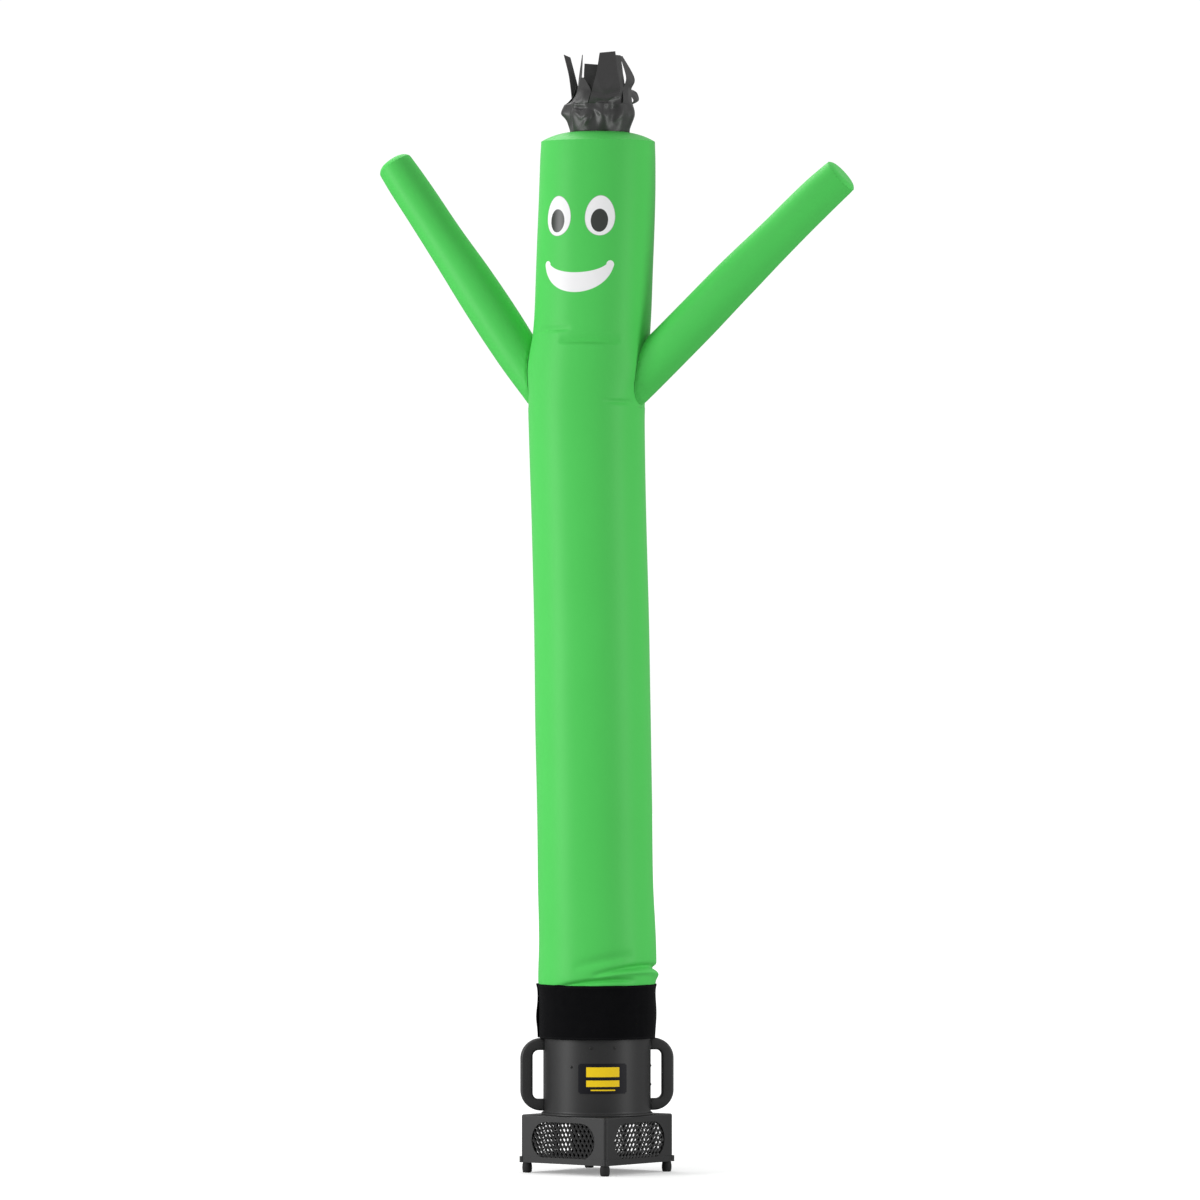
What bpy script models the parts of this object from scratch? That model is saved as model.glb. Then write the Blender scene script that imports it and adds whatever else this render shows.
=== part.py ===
"""Inflatable air dancer, strapped to the fan blower that it stands on.

Metres, +Z up, with the feet on z = 0. The blower's handles lie along X and its
label faces -Y. The figure has a frame of its own, with its shoulders along X and
its face towards -Y, and an empty turns it on the blower. A last step moves the
whole so that its bounding box is centred on the origin.
"""

import math
from collections import namedtuple

import bmesh
import bpy
from mathutils import Matrix, Vector

# Cloth
CLOTH = 0.0015  # thickness of the inflated cloth as a solid
GAP = 0.0003  # between pieces that touch
SEWN_GAP = 0.0006  # between an arm's root and the curved chest
SIDES = 32  # facets round the body, the collar and the duct
FACET = 360 / SIDES  # degrees
FIGURE_TURN = -24.0  # degrees that the figure is turned on the blower
TUFT_TURN = 17.6  # degrees that the hair is turned on the figure

# Blower
DUCT_RADIUS = 0.1435
DUCT_WALL = 0.004
DUCT_BOTTOM = 0.1553
FLANGE_RADIUS = 0.1485
FLANGE_HEIGHT = 0.005
SEAT_BOTTOM = 0.3600  # the duct is thicker where the cloth is strapped to it
SEAT_TOP = 0.4850
BOX_SIDE = 0.290
BOX_TOP = 0.155
BOX_WALL = 0.004
BOX_CORNER = 0.008
BOX_EDGE = 0.004
PAN_BOTTOM = 0.0275
PAN_PLATE = 0.003
PAN_LIP = 0.0012
PAN_HEIGHT = 0.016
LUG_RADIUS = 0.0075
LUG_PLACE = 0.2005  # from the axis to the middle of a corner lug
LUG_SIDES = 16
WINDOW_WIDTH = 0.215
WINDOW_HEIGHT = 0.097
WINDOW_MIDDLE = 0.0892
ARC_STEPS = 10  # in each round end of a window
GRILLE_WIDTH = 0.236
GRILLE_BOTTOM = 0.0335
GRILLE_TOP = 0.1500
GRILLE_THICK = 0.002
MESH_WIDE = 0.026
MESH_TALL = 0.032
MESH_OPEN = 0.80  # share of the pitch that is open
MESH_ROWS = 3  # pairs of staggered rows above and below a grille's middle
MESH_COLUMNS = 5  # diamonds to each side of a grille's middle, at most
FOOT_PLACE = 0.1874
FOOT_HEIGHT = 0.0272
FootRing = namedtuple("FootRing", "share radius")
FOOT = (
    FootRing(1.00, 0.0110),
    FootRing(0.68, 0.0123),
    FootRing(0.38, 0.0123),
    FootRing(0.00, 0.0108),
)
FOOT_SIDES = 12
HANDLE_MIDDLE = 0.2615
HANDLE_DEPTH = 0.030
HANDLE_EDGE = 0.004
HandleLine = namedtuple("HandleLine", "half_height reach corner steps")
HANDLE_OUTER = HandleLine(0.0965, 0.205, 0.054, 6)
HANDLE_INNER = HandleLine(0.065, 0.1735, 0.016, 3)
HANDLE_SUNK = 0.010  # its arms start inside the duct's outline and are trimmed
LABEL_WIDTH = 0.128
LABEL_HEIGHT = 0.080
LABEL_MIDDLE = 0.256
LABEL_THICK = 0.0010
LABEL_FACETS = 6
GLAND_HEIGHT = 0.235
GLAND_RADIUS = 0.011
GLAND_LENGTH = 0.030
GLAND_SIDES = 12

# Collar
COLLAR_THICK = 0.003
COLLAR_RINGS = (0.3590, 0.400, 0.455, 0.487, 0.503)
COLLAR_FIRST = -10  # its hidden end, in steps round the body from the front
COLLAR_STEPS = 36
COLLAR_RAMP = 4  # steps over which the outer end climbs over the hidden one
COLLAR_LIFT = 0.0040
COLLAR_LOOSE = 0.0060  # how far the loose end stands off at mid height

# The body's rings, from under the collar to the crown
BodyRing = namedtuple("BodyRing", "height sway radius")
BODY = (
    BodyRing(0.355, 0.0000, 0.1515),
    BodyRing(0.400, 0.0000, 0.1515),
    BodyRing(0.455, 0.0000, 0.1515),
    BodyRing(0.487, 0.0000, 0.1530),
    BodyRing(0.503, 0.0000, 0.1562),
    BodyRing(0.530, 0.0010, 0.1578),
    BodyRing(0.620, 0.0014, 0.1562),
    BodyRing(0.780, -0.0042, 0.1540),
    BodyRing(0.993, -0.0070, 0.1538),
    BodyRing(1.207, -0.0112, 0.1545),
    BodyRing(1.474, -0.0154, 0.1538),
    BodyRing(1.741, -0.0224, 0.1535),
    BodyRing(1.954, -0.0280, 0.1548),
    BodyRing(2.050, -0.0290, 0.1558),
    BodyRing(2.150, -0.0235, 0.1562),
    BodyRing(2.275, -0.0126, 0.1564),
    BodyRing(2.408, -0.0070, 0.1562),
    BodyRing(2.595, 0.0000, 0.1556),
    BodyRing(2.700, 0.0022, 0.1542),
    BodyRing(2.750, 0.0030, 0.1520),
)
TORSO_RINGS = (
    (0.3625, 0.400, 0.455, 0.487, 0.503)
    + tuple(0.512 + 0.0075 * step for step in range(13))
    + (0.630, 0.720, 0.860, 1.050, 1.270, 1.490, 1.710, 1.910, 2.0397)
)
CHEST_RINGS = (2.040, 2.054, 2.085, 2.150, 2.200, 2.216, 2.230, 2.2497)
HEAD_RINGS = (2.250, 2.264, 2.320, 2.420, 2.530, 2.640, 2.710, 2.7497)
CROWN_BOTTOM = 2.750

# Folds drawn into the cloth: troughs have a depth, ridges a negative one. Each
# runs round the body between two turns from the front, in degrees.
Fold = namedtuple("Fold", "first last at_first at_middle at_last depth above below")
FOLDS = (
    Fold(128, 2, 0.530, 0.567, 0.522, 0.0085, 0.010, 0.008),
    Fold(120, 14, 0.553, 0.584, 0.540, -0.0030, 0.013, 0.010),
    Fold(50, -22, 0.531, 0.523, 0.512, 0.0060, 0.008, 0.006),
    Fold(112, 46, 0.526, 0.534, 0.530, -0.0025, 0.010, 0.008),
    Fold(-14, 42, 2.218, 2.217, 2.216, 0.0035, 0.013, 0.005),
    Fold(-44, -11, 2.2495, 2.2515, 2.2535, 0.0018, 0.007, 0.005),
    Fold(34, 70, 2.056, 2.054, 2.053, 0.0030, 0.006, 0.006),
)
SWELL = 0.014  # how far the shoulders are drawn out into the arms
SWELL_MIDDLE = 2.145
SWELL_TURN = 32.0
SWELL_HEIGHT = 0.058

# The arms' rings: how far out of the chest's middle, how high, how wide
ArmRing = namedtuple("ArmRing", "reach height radius")
Arm = namedtuple("Arm", "side rings rise power")
LEFT_ARM = Arm(
    -1,
    (
        ArmRing(0.085, 2.029, 0.0500),
        ArmRing(0.127, 2.088, 0.0530),
        ArmRing(0.172, 2.152, 0.0570),
        ArmRing(0.210, 2.207, 0.0592),
        ArmRing(0.256, 2.275, 0.0603),
        ArmRing(0.329, 2.382, 0.0581),
        ArmRing(0.403, 2.488, 0.0533),
        ArmRing(0.476, 2.595, 0.0514),
        ArmRing(0.513, 2.648, 0.0502),
        ArmRing(0.5457, 2.6954, 0.0478),
    ),
    0.0155,
    5.0,
)
RIGHT_ARM = Arm(
    1,
    (
        ArmRing(0.080, 2.061, 0.0580),
        ArmRing(0.120, 2.099, 0.0590),
        ArmRing(0.164, 2.141, 0.0595),
        ArmRing(0.225, 2.200, 0.0598),
        ArmRing(0.303, 2.275, 0.0595),
        ArmRing(0.412, 2.382, 0.0577),
        ArmRing(0.524, 2.488, 0.0540),
        ArmRing(0.638, 2.595, 0.0528),
        ArmRing(0.7006, 2.6492, 0.0502),
    ),
    0.0095,
    7.0,
)
ARM_SIDES = 18
ARM_ROWS = 10
DISC_SHARES = (0, 0.45, 0.75, 0.9, 1)  # rings of an arm's end disc
CROWN_SHARES = (0, 0.3, 0.52, 0.76, 1)
CROWN_RISE = 0.033
CROWN_POWER = 2.3

# The hair: a gathered sleeve on the crown and the strips cut from it. Places are
# metres from the crown's middle: to the viewer's right, away from them, and up.
TUFT_SHIFT = 0.0045
HAIR_THICK = 0.0015
STRIP_COLUMNS = 2
STRIP_ROWS = 6
SleeveRing = namedtuple("SleeveRing", "height radius pleat")
SLEEVE = (
    SleeveRing(0.027, 0.0780, 0.0000),
    SleeveRing(0.046, 0.0810, 0.0020),
    SleeveRing(0.074, 0.0850, 0.0040),
    SleeveRing(0.100, 0.0830, 0.0030),
)
LOBE_OUT = 0.020  # the sleeve's fold that points to the viewer's left
LOBE_TURN = 265.0
LOBE_WIDTH = 20.0
LOBE_HEIGHT = 0.076
LOBE_TALL = 0.024
Strip = namedtuple("Strip", "knee middle tip facing wide tip_wide")
STRIPS = (
    Strip((0.019, -0.088, 0.130), (0.023, -0.086, 0.185), (0.025, -0.080, 0.2415), 2, 0.060, 0.042),
    Strip((0.058, -0.056, 0.135), (0.061, -0.050, 0.185), (0.054, -0.048, 0.232), 74, 0.036, 0.018),
    Strip((0.077, -0.030, 0.138), (0.086, -0.018, 0.170), (0.062, -0.004, 0.232), 62, 0.034, 0.022),
    Strip((0.100, 0.008, 0.112), (0.084, 0.014, 0.139), (0.058, 0.016, 0.154), 94, 0.034, 0.030),
    Strip((0.062, 0.046, 0.140), (0.050, 0.050, 0.170), (0.036, 0.050, 0.200), 142, 0.034, 0.030),
    Strip((0.004, 0.076, 0.140), (-0.008, 0.074, 0.176), (-0.015, 0.070, 0.211), 182, 0.040, 0.040),
    Strip((-0.030, 0.062, 0.124), (-0.031, 0.058, 0.142), (-0.030, 0.056, 0.160), 200, 0.032, 0.016),
    Strip((-0.061, 0.036, 0.135), (-0.070, 0.031, 0.180), (-0.083, 0.028, 0.231), 245, 0.030, 0.030),
    Strip((-0.066, 0.004, 0.118), (-0.061, -0.001, 0.134), (-0.058, -0.003, 0.150), 259, 0.022, 0.014),
    Strip((-0.052, -0.036, 0.130), (-0.047, -0.040, 0.172), (-0.0415, -0.042, 0.230), 283, 0.032, 0.006),
    Strip((-0.042, -0.071, 0.112), (-0.037, -0.073, 0.135), (-0.042, -0.070, 0.168), 338, 0.036, 0.008),
)
Station = namedtuple("Station", "up x y z wide")
STRIP_TURN = 360 / len(STRIPS)
FIRST_STRIP = -5.0
STRIP_BOW = 0.003  # how far a strip's middle stands off its edges

# Finishes, as linear colour, roughness and metallic value
Finish = namedtuple("Finish", "colour roughness metallic")
GREEN_CLOTH = Finish((0.085, 0.560, 0.110), 0.50, 0.0)
BLACK_CLOTH = Finish((0.006, 0.006, 0.008), 0.85, 0.0)
BLACK_NYLON = Finish((0.050, 0.050, 0.052), 0.45, 0.0)
PAINTED_METAL = Finish((0.060, 0.060, 0.062), 0.50, 0.0)
BLACK_PLASTIC = Finish((0.035, 0.035, 0.036), 0.50, 0.0)
BLACK_RUBBER = Finish((0.018, 0.018, 0.019), 0.80, 0.0)
DARK_STEEL = Finish((0.020, 0.020, 0.022), 0.45, 0.4)
LABEL_FILM = Finish((0.013, 0.013, 0.018), 0.35, 0.0)


def smooth(table, field, at, key="height"):
    """Value of a table's field at a key, on a smooth curve through its rows."""
    keys = [getattr(row, key) for row in table]
    values = [getattr(row, field) for row in table]
    at = min(max(at, keys[0]), keys[-1])
    last = len(keys) - 1
    i = next(n for n in range(1, last + 1) if at <= keys[n])
    span = keys[i] - keys[i - 1]

    def slope(n):
        low, high = max(n - 1, 0), min(n + 1, last)
        return (values[high] - values[low]) / (keys[high] - keys[low]) * span

    t = (at - keys[i - 1]) / span
    return (
        (2 * t**3 - 3 * t**2 + 1) * values[i - 1]
        + (t**3 - 2 * t**2 + t) * slope(i - 1)
        + (3 * t**2 - 2 * t**3) * values[i]
        + (t**3 - t**2) * slope(i)
    )


def bell(distance, width):
    """A soft bump of height 1."""
    return math.exp(-((distance / width) ** 2))


def turn_between(turn, other):
    """The smallest angle from one turn to another, in degrees."""
    return (turn - other + 180) % 360 - 180


def fold_relief(turn, height):
    """How far the cloth stands out, or in if negative, at its drawn folds."""
    relief = 0.0
    for fold in FOLDS:
        run = turn_between(turn, fold.first) / (fold.last - fold.first)
        if not 0 < run < 1:
            continue
        line = (
            fold.at_first * (1 - run) * (1 - 2 * run)
            + fold.at_middle * 4 * run * (1 - run)
            + fold.at_last * run * (2 * run - 1)
        )
        width = fold.above if height > line else fold.below
        relief -= fold.depth * math.sin(math.pi * run) ** 0.5 * bell(height - line, width)
    return relief


def shoulder_swell(turn, height):
    """How far the chest is drawn out towards the arms."""
    beside = min(abs(turn_between(turn, 90)), abs(turn_between(turn, 270)))
    return SWELL * bell(beside, SWELL_TURN) * bell(height - SWELL_MIDDLE, SWELL_HEIGHT)


def body_point(turn, height, grow=0.0):
    """A point of the body's outer side, turn in degrees from the figure's front."""
    reach = smooth(BODY, "radius", height) + grow
    reach += fold_relief(turn, height) + shoulder_swell(turn, height)
    angle = math.radians(turn)
    sway = smooth(BODY, "sway", height)
    return Vector((sway + reach * math.sin(angle), -reach * math.cos(angle), height))


def arm_frame(arm, along):
    """An arm's middle, radius, direction and up side, at 0 to 1 of its length."""
    first, last = arm.rings[0].reach, arm.rings[-1].reach
    reach = first + along * (last - first)
    step = 0.002

    def middle(at):
        return Vector((arm.side * at, 0, smooth(arm.rings, "height", at, "reach")))

    low, high = max(reach - step, first), min(reach + step, last)
    direction = (middle(high) - middle(low)).normalized()
    chest = Vector((smooth(BODY, "sway", SWELL_MIDDLE), 0, 0))
    radius = smooth(arm.rings, "radius", reach, "reach")
    return chest + middle(reach), radius, direction, direction.cross(Vector((0, 1, 0)))


def arm_point(arm, along, turn, grow=0.0):
    """A point of an arm's outer side."""
    centre, radius, _, up = arm_frame(arm, along)
    angle = math.radians(turn)
    return centre + (radius + grow) * (up * math.cos(angle) + Vector((0, math.sin(angle), 0)))


def dome_height(share, rise, power):
    """How high a disc stands, at a share of its radius."""
    return rise * (1 - share**power)


def sleeve_point(turn, height, radius, pleat):
    """A point of the hair's sleeve, turn in degrees from the viewer's side."""
    fold = math.sin(math.radians(7 * turn + 40)) + math.sin(math.radians(11 * turn))
    out = radius + pleat * fold
    lobe = bell(turn_between(turn, LOBE_TURN), LOBE_WIDTH)
    out += LOBE_OUT * lobe * bell(height - LOBE_HEIGHT, LOBE_TALL)
    angle = math.radians(turn)
    return Vector((TUFT_SHIFT + out * math.sin(angle), -out * math.cos(angle), height))


def strip_point(index, across, up):
    """A point of a strip: across from -1 to 1, and up from 0 at its root to 1."""
    strip = STRIPS[index]
    turn = FIRST_STRIP + index * STRIP_TURN
    top = SLEEVE[-1]
    edge = sleeve_point(turn + across * STRIP_TURN / 2, top.height, top.radius, top.pleat)
    if up == 0:
        return edge
    root = sleeve_point(turn, top.height, top.radius, top.pleat)
    root_wide = 2 * top.radius * math.sin(math.radians(STRIP_TURN / 2))
    stations = (
        Station(0.0, *root, root_wide),
        Station(0.33, *strip.knee, (root_wide + 2 * strip.wide) / 3),
        Station(0.66, *strip.middle, strip.wide),
        Station(1.0, *strip.tip, strip.tip_wide),
    )
    x, y, z, wide = (smooth(stations, field, up, "up") for field in ("x", "y", "z", "wide"))
    facing = math.radians(turn + turn_between(strip.facing, turn) * min(1, 1.6 * up))
    side = Vector((math.cos(facing), math.sin(facing), 0))
    out = Vector((math.sin(facing), -math.cos(facing), 0))
    bow = STRIP_BOW * (1 - abs(across)) * math.sin(math.pi * min(1, 1.4 * up))
    return Vector((x, y, z)) + side * (across * wide / 2) + out * bow


def clear_scene():
    for item in list(bpy.data.objects):
        bpy.data.objects.remove(item)


def material_of(name, finish):
    material = bpy.data.materials.new(name)
    material.use_nodes = True
    shader = material.node_tree.nodes["Principled BSDF"]
    shader.inputs["Base Color"].default_value = (*finish.colour, 1)
    shader.inputs["Roughness"].default_value = finish.roughness
    shader.inputs["Metallic"].default_value = finish.metallic
    return material


def add_object(name, mesh, collection, parent, finish=None):
    """An object for a mesh, in its collection and under its parent."""
    item = bpy.data.objects.new(name, mesh)
    collection.objects.link(item)
    item.parent = parent
    if finish:
        mesh.materials.append(material_of(name, finish))
    return item


def add_cutter(name, mesh, parent):
    """An object that only cuts others."""
    cutter = add_object(name, mesh, cutters, parent)
    cutter.hide_render = True
    cutter.display_type = "WIRE"
    return cutter


def add_empty(name, parent=None, turn=0.0):
    empty = bpy.data.objects.new(name, None)
    parts.objects.link(empty)
    empty.parent = parent
    empty.rotation_euler.z = math.radians(turn)
    return empty


def mesh_of(name, bm):
    mesh = bpy.data.meshes.new(name)
    bm.to_mesh(mesh)
    bm.free()
    return mesh


def lay_grid(bm, columns, rows, place):
    """A grid whose points go where place puts them, by column and row."""
    made = bmesh.ops.create_grid(bm, x_segments=columns, y_segments=rows, size=0.5)
    for vertex in made["verts"]:
        column = round((vertex.co.x + 0.5) * columns)
        row = round((vertex.co.y + 0.5) * rows)
        vertex.co = place(column, row)


def sheet_mesh(name, columns, rows, place, closed=False):
    """One sheet laid by place; a closed one is a tube with both ends capped."""
    bm = bmesh.new()
    lay_grid(bm, columns, rows, place)
    bmesh.ops.remove_doubles(bm, verts=bm.verts, dist=1e-5)
    if closed:
        bmesh.ops.holes_fill(bm, edges=bm.edges)
        bmesh.ops.recalc_face_normals(bm, faces=bm.faces)
    mesh = mesh_of(name, bm)
    mesh.shade_smooth()
    return mesh


def thicken(item, thickness, offset=-1.0):
    solid = item.modifiers.new("Thickness", "SOLIDIFY")
    solid.thickness = thickness
    solid.offset = offset


def cut(item, cutter, operation="DIFFERENCE"):
    boolean = item.modifiers.new(cutter.name, "BOOLEAN")
    boolean.operation = operation
    boolean.object = cutter
    boolean.solver = "EXACT"


def turned(name, profile, parent, finish, steps=SIDES, loop=True):
    """A turned solid, its profile run down its outer side."""
    bm = bmesh.new()
    points = [bm.verts.new((radius, 0, height)) for radius, height in profile]
    for first, second in zip(points, points[1:] + points[:1] if loop else points[1:]):
        bm.edges.new((first, second))
    item = add_object(name, mesh_of(name, bm), parts, parent, finish)
    screw = item.modifiers.new("Turn", "SCREW")
    screw.axis = "Z"
    screw.steps = screw.render_steps = steps
    screw.use_merge_vertices = True
    screw.merge_threshold = 0.00001
    screw.use_smooth_shade = True
    return item


def cylinder_mesh(name, radius, depth, sides=SIDES, matrix=None):
    bm = bmesh.new()
    bmesh.ops.create_cone(
        bm,
        cap_ends=True,
        segments=sides,
        radius1=radius,
        radius2=radius,
        depth=depth,
        matrix=matrix or Matrix(),
    )
    return mesh_of(name, bm)


def block_mesh(name, side, bottom, top, corner=0.0, edge=0.0):
    """A square block with rounded upright edges and rounded top edges."""
    bm = bmesh.new()
    size = Matrix.Diagonal((side, side, top - bottom, 1))
    bmesh.ops.create_cube(bm, size=1, matrix=Matrix.Translation((0, 0, (top + bottom) / 2)) @ size)

    def upright(line):
        return abs(line.verts[0].co.z - line.verts[1].co.z) > 1e-6

    def at_top(line):
        return all(vertex.co.z > top - 1e-6 for vertex in line.verts)

    for width, wanted, segments in ((corner, upright, 4), (edge, at_top, 2)):
        if width:
            edges = [line for line in bm.edges if wanted(line)]
            bmesh.ops.bevel(
                bm,
                geom=edges,
                offset=width,
                segments=segments,
                profile=0.5,
                affect="EDGES",
                clamp_overlap=True,
            )
    return mesh_of(name, bm)


def arc(centre, radius, first, last, steps):
    """Points along an arc, angles in degrees."""
    angles = [math.radians(first + (last - first) * n / steps) for n in range(steps + 1)]
    return [(centre[0] + radius * math.cos(a), centre[1] + radius * math.sin(a)) for a in angles]


def outline_curve(name, points, depth, edge=0.0):
    """A flat outline with thickness, upright in the XZ plane."""
    curve = bpy.data.curves.new(name, "CURVE")
    curve.dimensions = "2D"
    curve.fill_mode = "BOTH"
    curve.extrude = depth / 2 - edge
    curve.bevel_depth = edge
    curve.bevel_resolution = 0
    curve.offset = -edge
    spline = curve.splines.new("POLY")
    spline.points.add(len(points) - 1)
    for point, (x, y) in zip(spline.points, points):
        point.co = (x, y, 0, 1)
    spline.use_cyclic_u = True
    return curve


def outline_mesh(name, points, depth, edge=0.0):
    """The mesh of an outline curve, its caps welded, standing in the XZ plane."""
    holder = bpy.data.objects.new(name, outline_curve(name, points, depth, edge))
    parts.objects.link(holder)
    graph = bpy.context.evaluated_depsgraph_get()
    mesh = bpy.data.meshes.new_from_object(holder.evaluated_get(graph))
    bpy.data.objects.remove(holder)
    bm = bmesh.new()
    bm.from_mesh(mesh)
    bmesh.ops.remove_doubles(bm, verts=bm.verts, dist=1e-6)
    bmesh.ops.recalc_face_normals(bm, faces=bm.faces)
    bmesh.ops.rotate(bm, verts=bm.verts, cent=(0, 0, 0), matrix=Matrix.Rotation(math.pi / 2, 3, "X"))
    return mesh_of(name, bm)


def body_tube(name, rings):
    """One tube of the body, as a shell of cloth between its first and last ring."""
    mesh = sheet_mesh(
        name, SIDES, len(rings) - 1, lambda column, row: body_point(column * FACET, rings[row])
    )
    item = add_object(name, mesh, parts, figure, GREEN_CLOTH)
    thicken(item, CLOTH)
    return item


def body_cutter():
    """The body's outer shape, a little grown, which trims the arms' roots."""
    rings = (1.90, 1.98) + CHEST_RINGS + HEAD_RINGS[1:4]
    mesh = sheet_mesh(
        "body_shape",
        SIDES,
        len(rings) - 1,
        lambda column, row: body_point(column * FACET, rings[row], SEWN_GAP),
        closed=True,
    )
    return add_cutter("body_shape", mesh, figure)


def arm_mesh(name, arm, rows, grow=0.0, until=1.0, closed=False):
    def place(column, row):
        turn = -arm.side * 360 * column / ARM_SIDES
        return arm_point(arm, until * row / rows, turn, grow)

    return sheet_mesh(name, ARM_SIDES, rows, place, closed)


def disc_profile(radius, rise, power, shares):
    """The profile of a domed disc of cloth, down its outside and back inside."""
    outer = [(radius * share, dome_height(share, rise, power)) for share in shares]
    within = radius - CLOTH
    inner = [(within * share, dome_height(share, rise - CLOTH, power)) for share in shares]
    return outer + inner[::-1]


def make_arm(name, arm, shape):
    """An arm's sleeve and the disc that closes its end."""
    sleeve = add_object(name, arm_mesh(name, arm, ARM_ROWS), parts, figure, GREEN_CLOTH)
    thicken(sleeve, CLOTH)
    cut(sleeve, shape)
    centre, radius, direction, _ = arm_frame(arm, 1.0)
    profile = disc_profile(radius, arm.rise, arm.power, DISC_SHARES)
    disc = turned(name + "_end", profile, figure, GREEN_CLOTH, ARM_SIDES, loop=False)
    disc.location = centre + direction * GAP
    disc.rotation_mode = "QUATERNION"
    disc.rotation_quaternion = direction.to_track_quat("Z", "Y")


def make_body():
    """The torso, chest and head tubes, the crown and the arms."""
    body_tube("torso_tube", TORSO_RINGS)
    chest = body_tube("chest_panel", CHEST_RINGS)
    body_tube("head_tube", HEAD_RINGS)
    shape = body_cutter()
    for name, arm in (("left_arm", LEFT_ARM), ("right_arm", RIGHT_ARM)):
        make_arm(name, arm, shape)
        hole = name + "_hole"
        mesh = arm_mesh(hole, arm, ARM_ROWS // 2, -CLOTH, 0.5, closed=True)
        cut(chest, add_cutter(hole, mesh, figure))
    crown = BODY[-1]
    profile = disc_profile(crown.radius, CROWN_RISE, CROWN_POWER, CROWN_SHARES)
    disc = turned("crown_disc", profile, figure, GREEN_CLOTH, loop=False)
    disc.location = (crown.sway, 0, CROWN_BOTTOM)
    disc.rotation_euler.z = math.radians(-90)  # a turned solid's facets start at +X


def make_hair():
    """The gathered sleeve and its strips, as one sheet with slits."""
    tuft = add_empty("tuft", figure, TUFT_TURN)
    tuft.location = (BODY[-1].sway, 0, CROWN_BOTTOM)
    columns = STRIP_COLUMNS * len(STRIPS)
    crown_radius = BODY[-1].radius

    def sleeve_place(column, row):
        ring = SLEEVE[row]
        turn = FIRST_STRIP - STRIP_TURN / 2 + 360 * column / columns
        point = sleeve_point(turn, ring.height, ring.radius, ring.pleat)
        if row == 0:
            share = (math.hypot(point.x, point.y) - HAIR_THICK / 2) / crown_radius
            point.z = dome_height(share, CROWN_RISE, CROWN_POWER) + GAP
        return point

    bm = bmesh.new()
    lay_grid(bm, columns, len(SLEEVE) - 1, sleeve_place)
    for index in range(len(STRIPS)):
        lay_grid(
            bm,
            STRIP_COLUMNS,
            STRIP_ROWS,
            lambda column, row: strip_point(
                index, 2 * column / STRIP_COLUMNS - 1, row / STRIP_ROWS
            ),
        )
    bmesh.ops.remove_doubles(bm, verts=bm.verts, dist=1e-5)
    hair = add_object("hair_tuft", mesh_of("hair_tuft", bm), parts, tuft, BLACK_NYLON)
    thicken(hair, HAIR_THICK, 0.0)


def make_collar():
    """The wrap band round the cloth, its loose end over its hidden one."""

    def place(column, row):
        height = COLLAR_RINGS[row]
        climb = min(1, max(0, (column - (SIDES - COLLAR_RAMP)) / COLLAR_RAMP))
        past = max(0, column - SIDES) / (COLLAR_STEPS - SIDES)
        middle = bell(row - 2, 2.0)
        grow = GAP + COLLAR_THICK + COLLAR_LIFT * climb + COLLAR_LOOSE * middle * past**2
        return body_point((COLLAR_FIRST + column) * FACET, height, grow)

    mesh = sheet_mesh("collar_band", COLLAR_STEPS, len(COLLAR_RINGS) - 1, place)
    collar = add_object("collar_band", mesh, parts, figure, BLACK_CLOTH)
    thicken(collar, COLLAR_THICK)


def make_duct():
    """The round housing, its facets in line with the cloth's."""
    seat = BODY[0].radius - CLOTH - GAP
    inner = DUCT_RADIUS - DUCT_WALL
    flange_top = DUCT_BOTTOM + FLANGE_HEIGHT
    profile = [
        (inner, SEAT_TOP + 0.004),
        (seat - 0.005, SEAT_TOP + 0.004),
        (seat, SEAT_TOP - 0.002),
        (seat, SEAT_BOTTOM + 0.002),
        (DUCT_RADIUS, SEAT_BOTTOM - 0.001),
        (DUCT_RADIUS, flange_top + 0.004),
        (FLANGE_RADIUS, flange_top),
        (FLANGE_RADIUS, DUCT_BOTTOM),
        (inner, DUCT_BOTTOM),
    ]
    duct = turned("blower_duct", profile, blower, PAINTED_METAL)
    duct.rotation_euler.z = math.radians(FIGURE_TURN - 90)
    mesh = cylinder_mesh("duct_shape", DUCT_RADIUS + GAP, SEAT_BOTTOM)
    shape = add_cutter("duct_shape", mesh, blower)
    shape.location.z = SEAT_BOTTOM / 2
    shape.rotation_euler.z = math.radians(FIGURE_TURN)
    return shape


def stadium(width, height):
    """The outline of a window with round ends."""
    radius = height / 2
    end = width / 2 - radius
    return arc((end, 0), radius, -90, 90, ARC_STEPS) + arc(
        (-end, 0), radius, 90, 270, ARC_STEPS
    )


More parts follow.
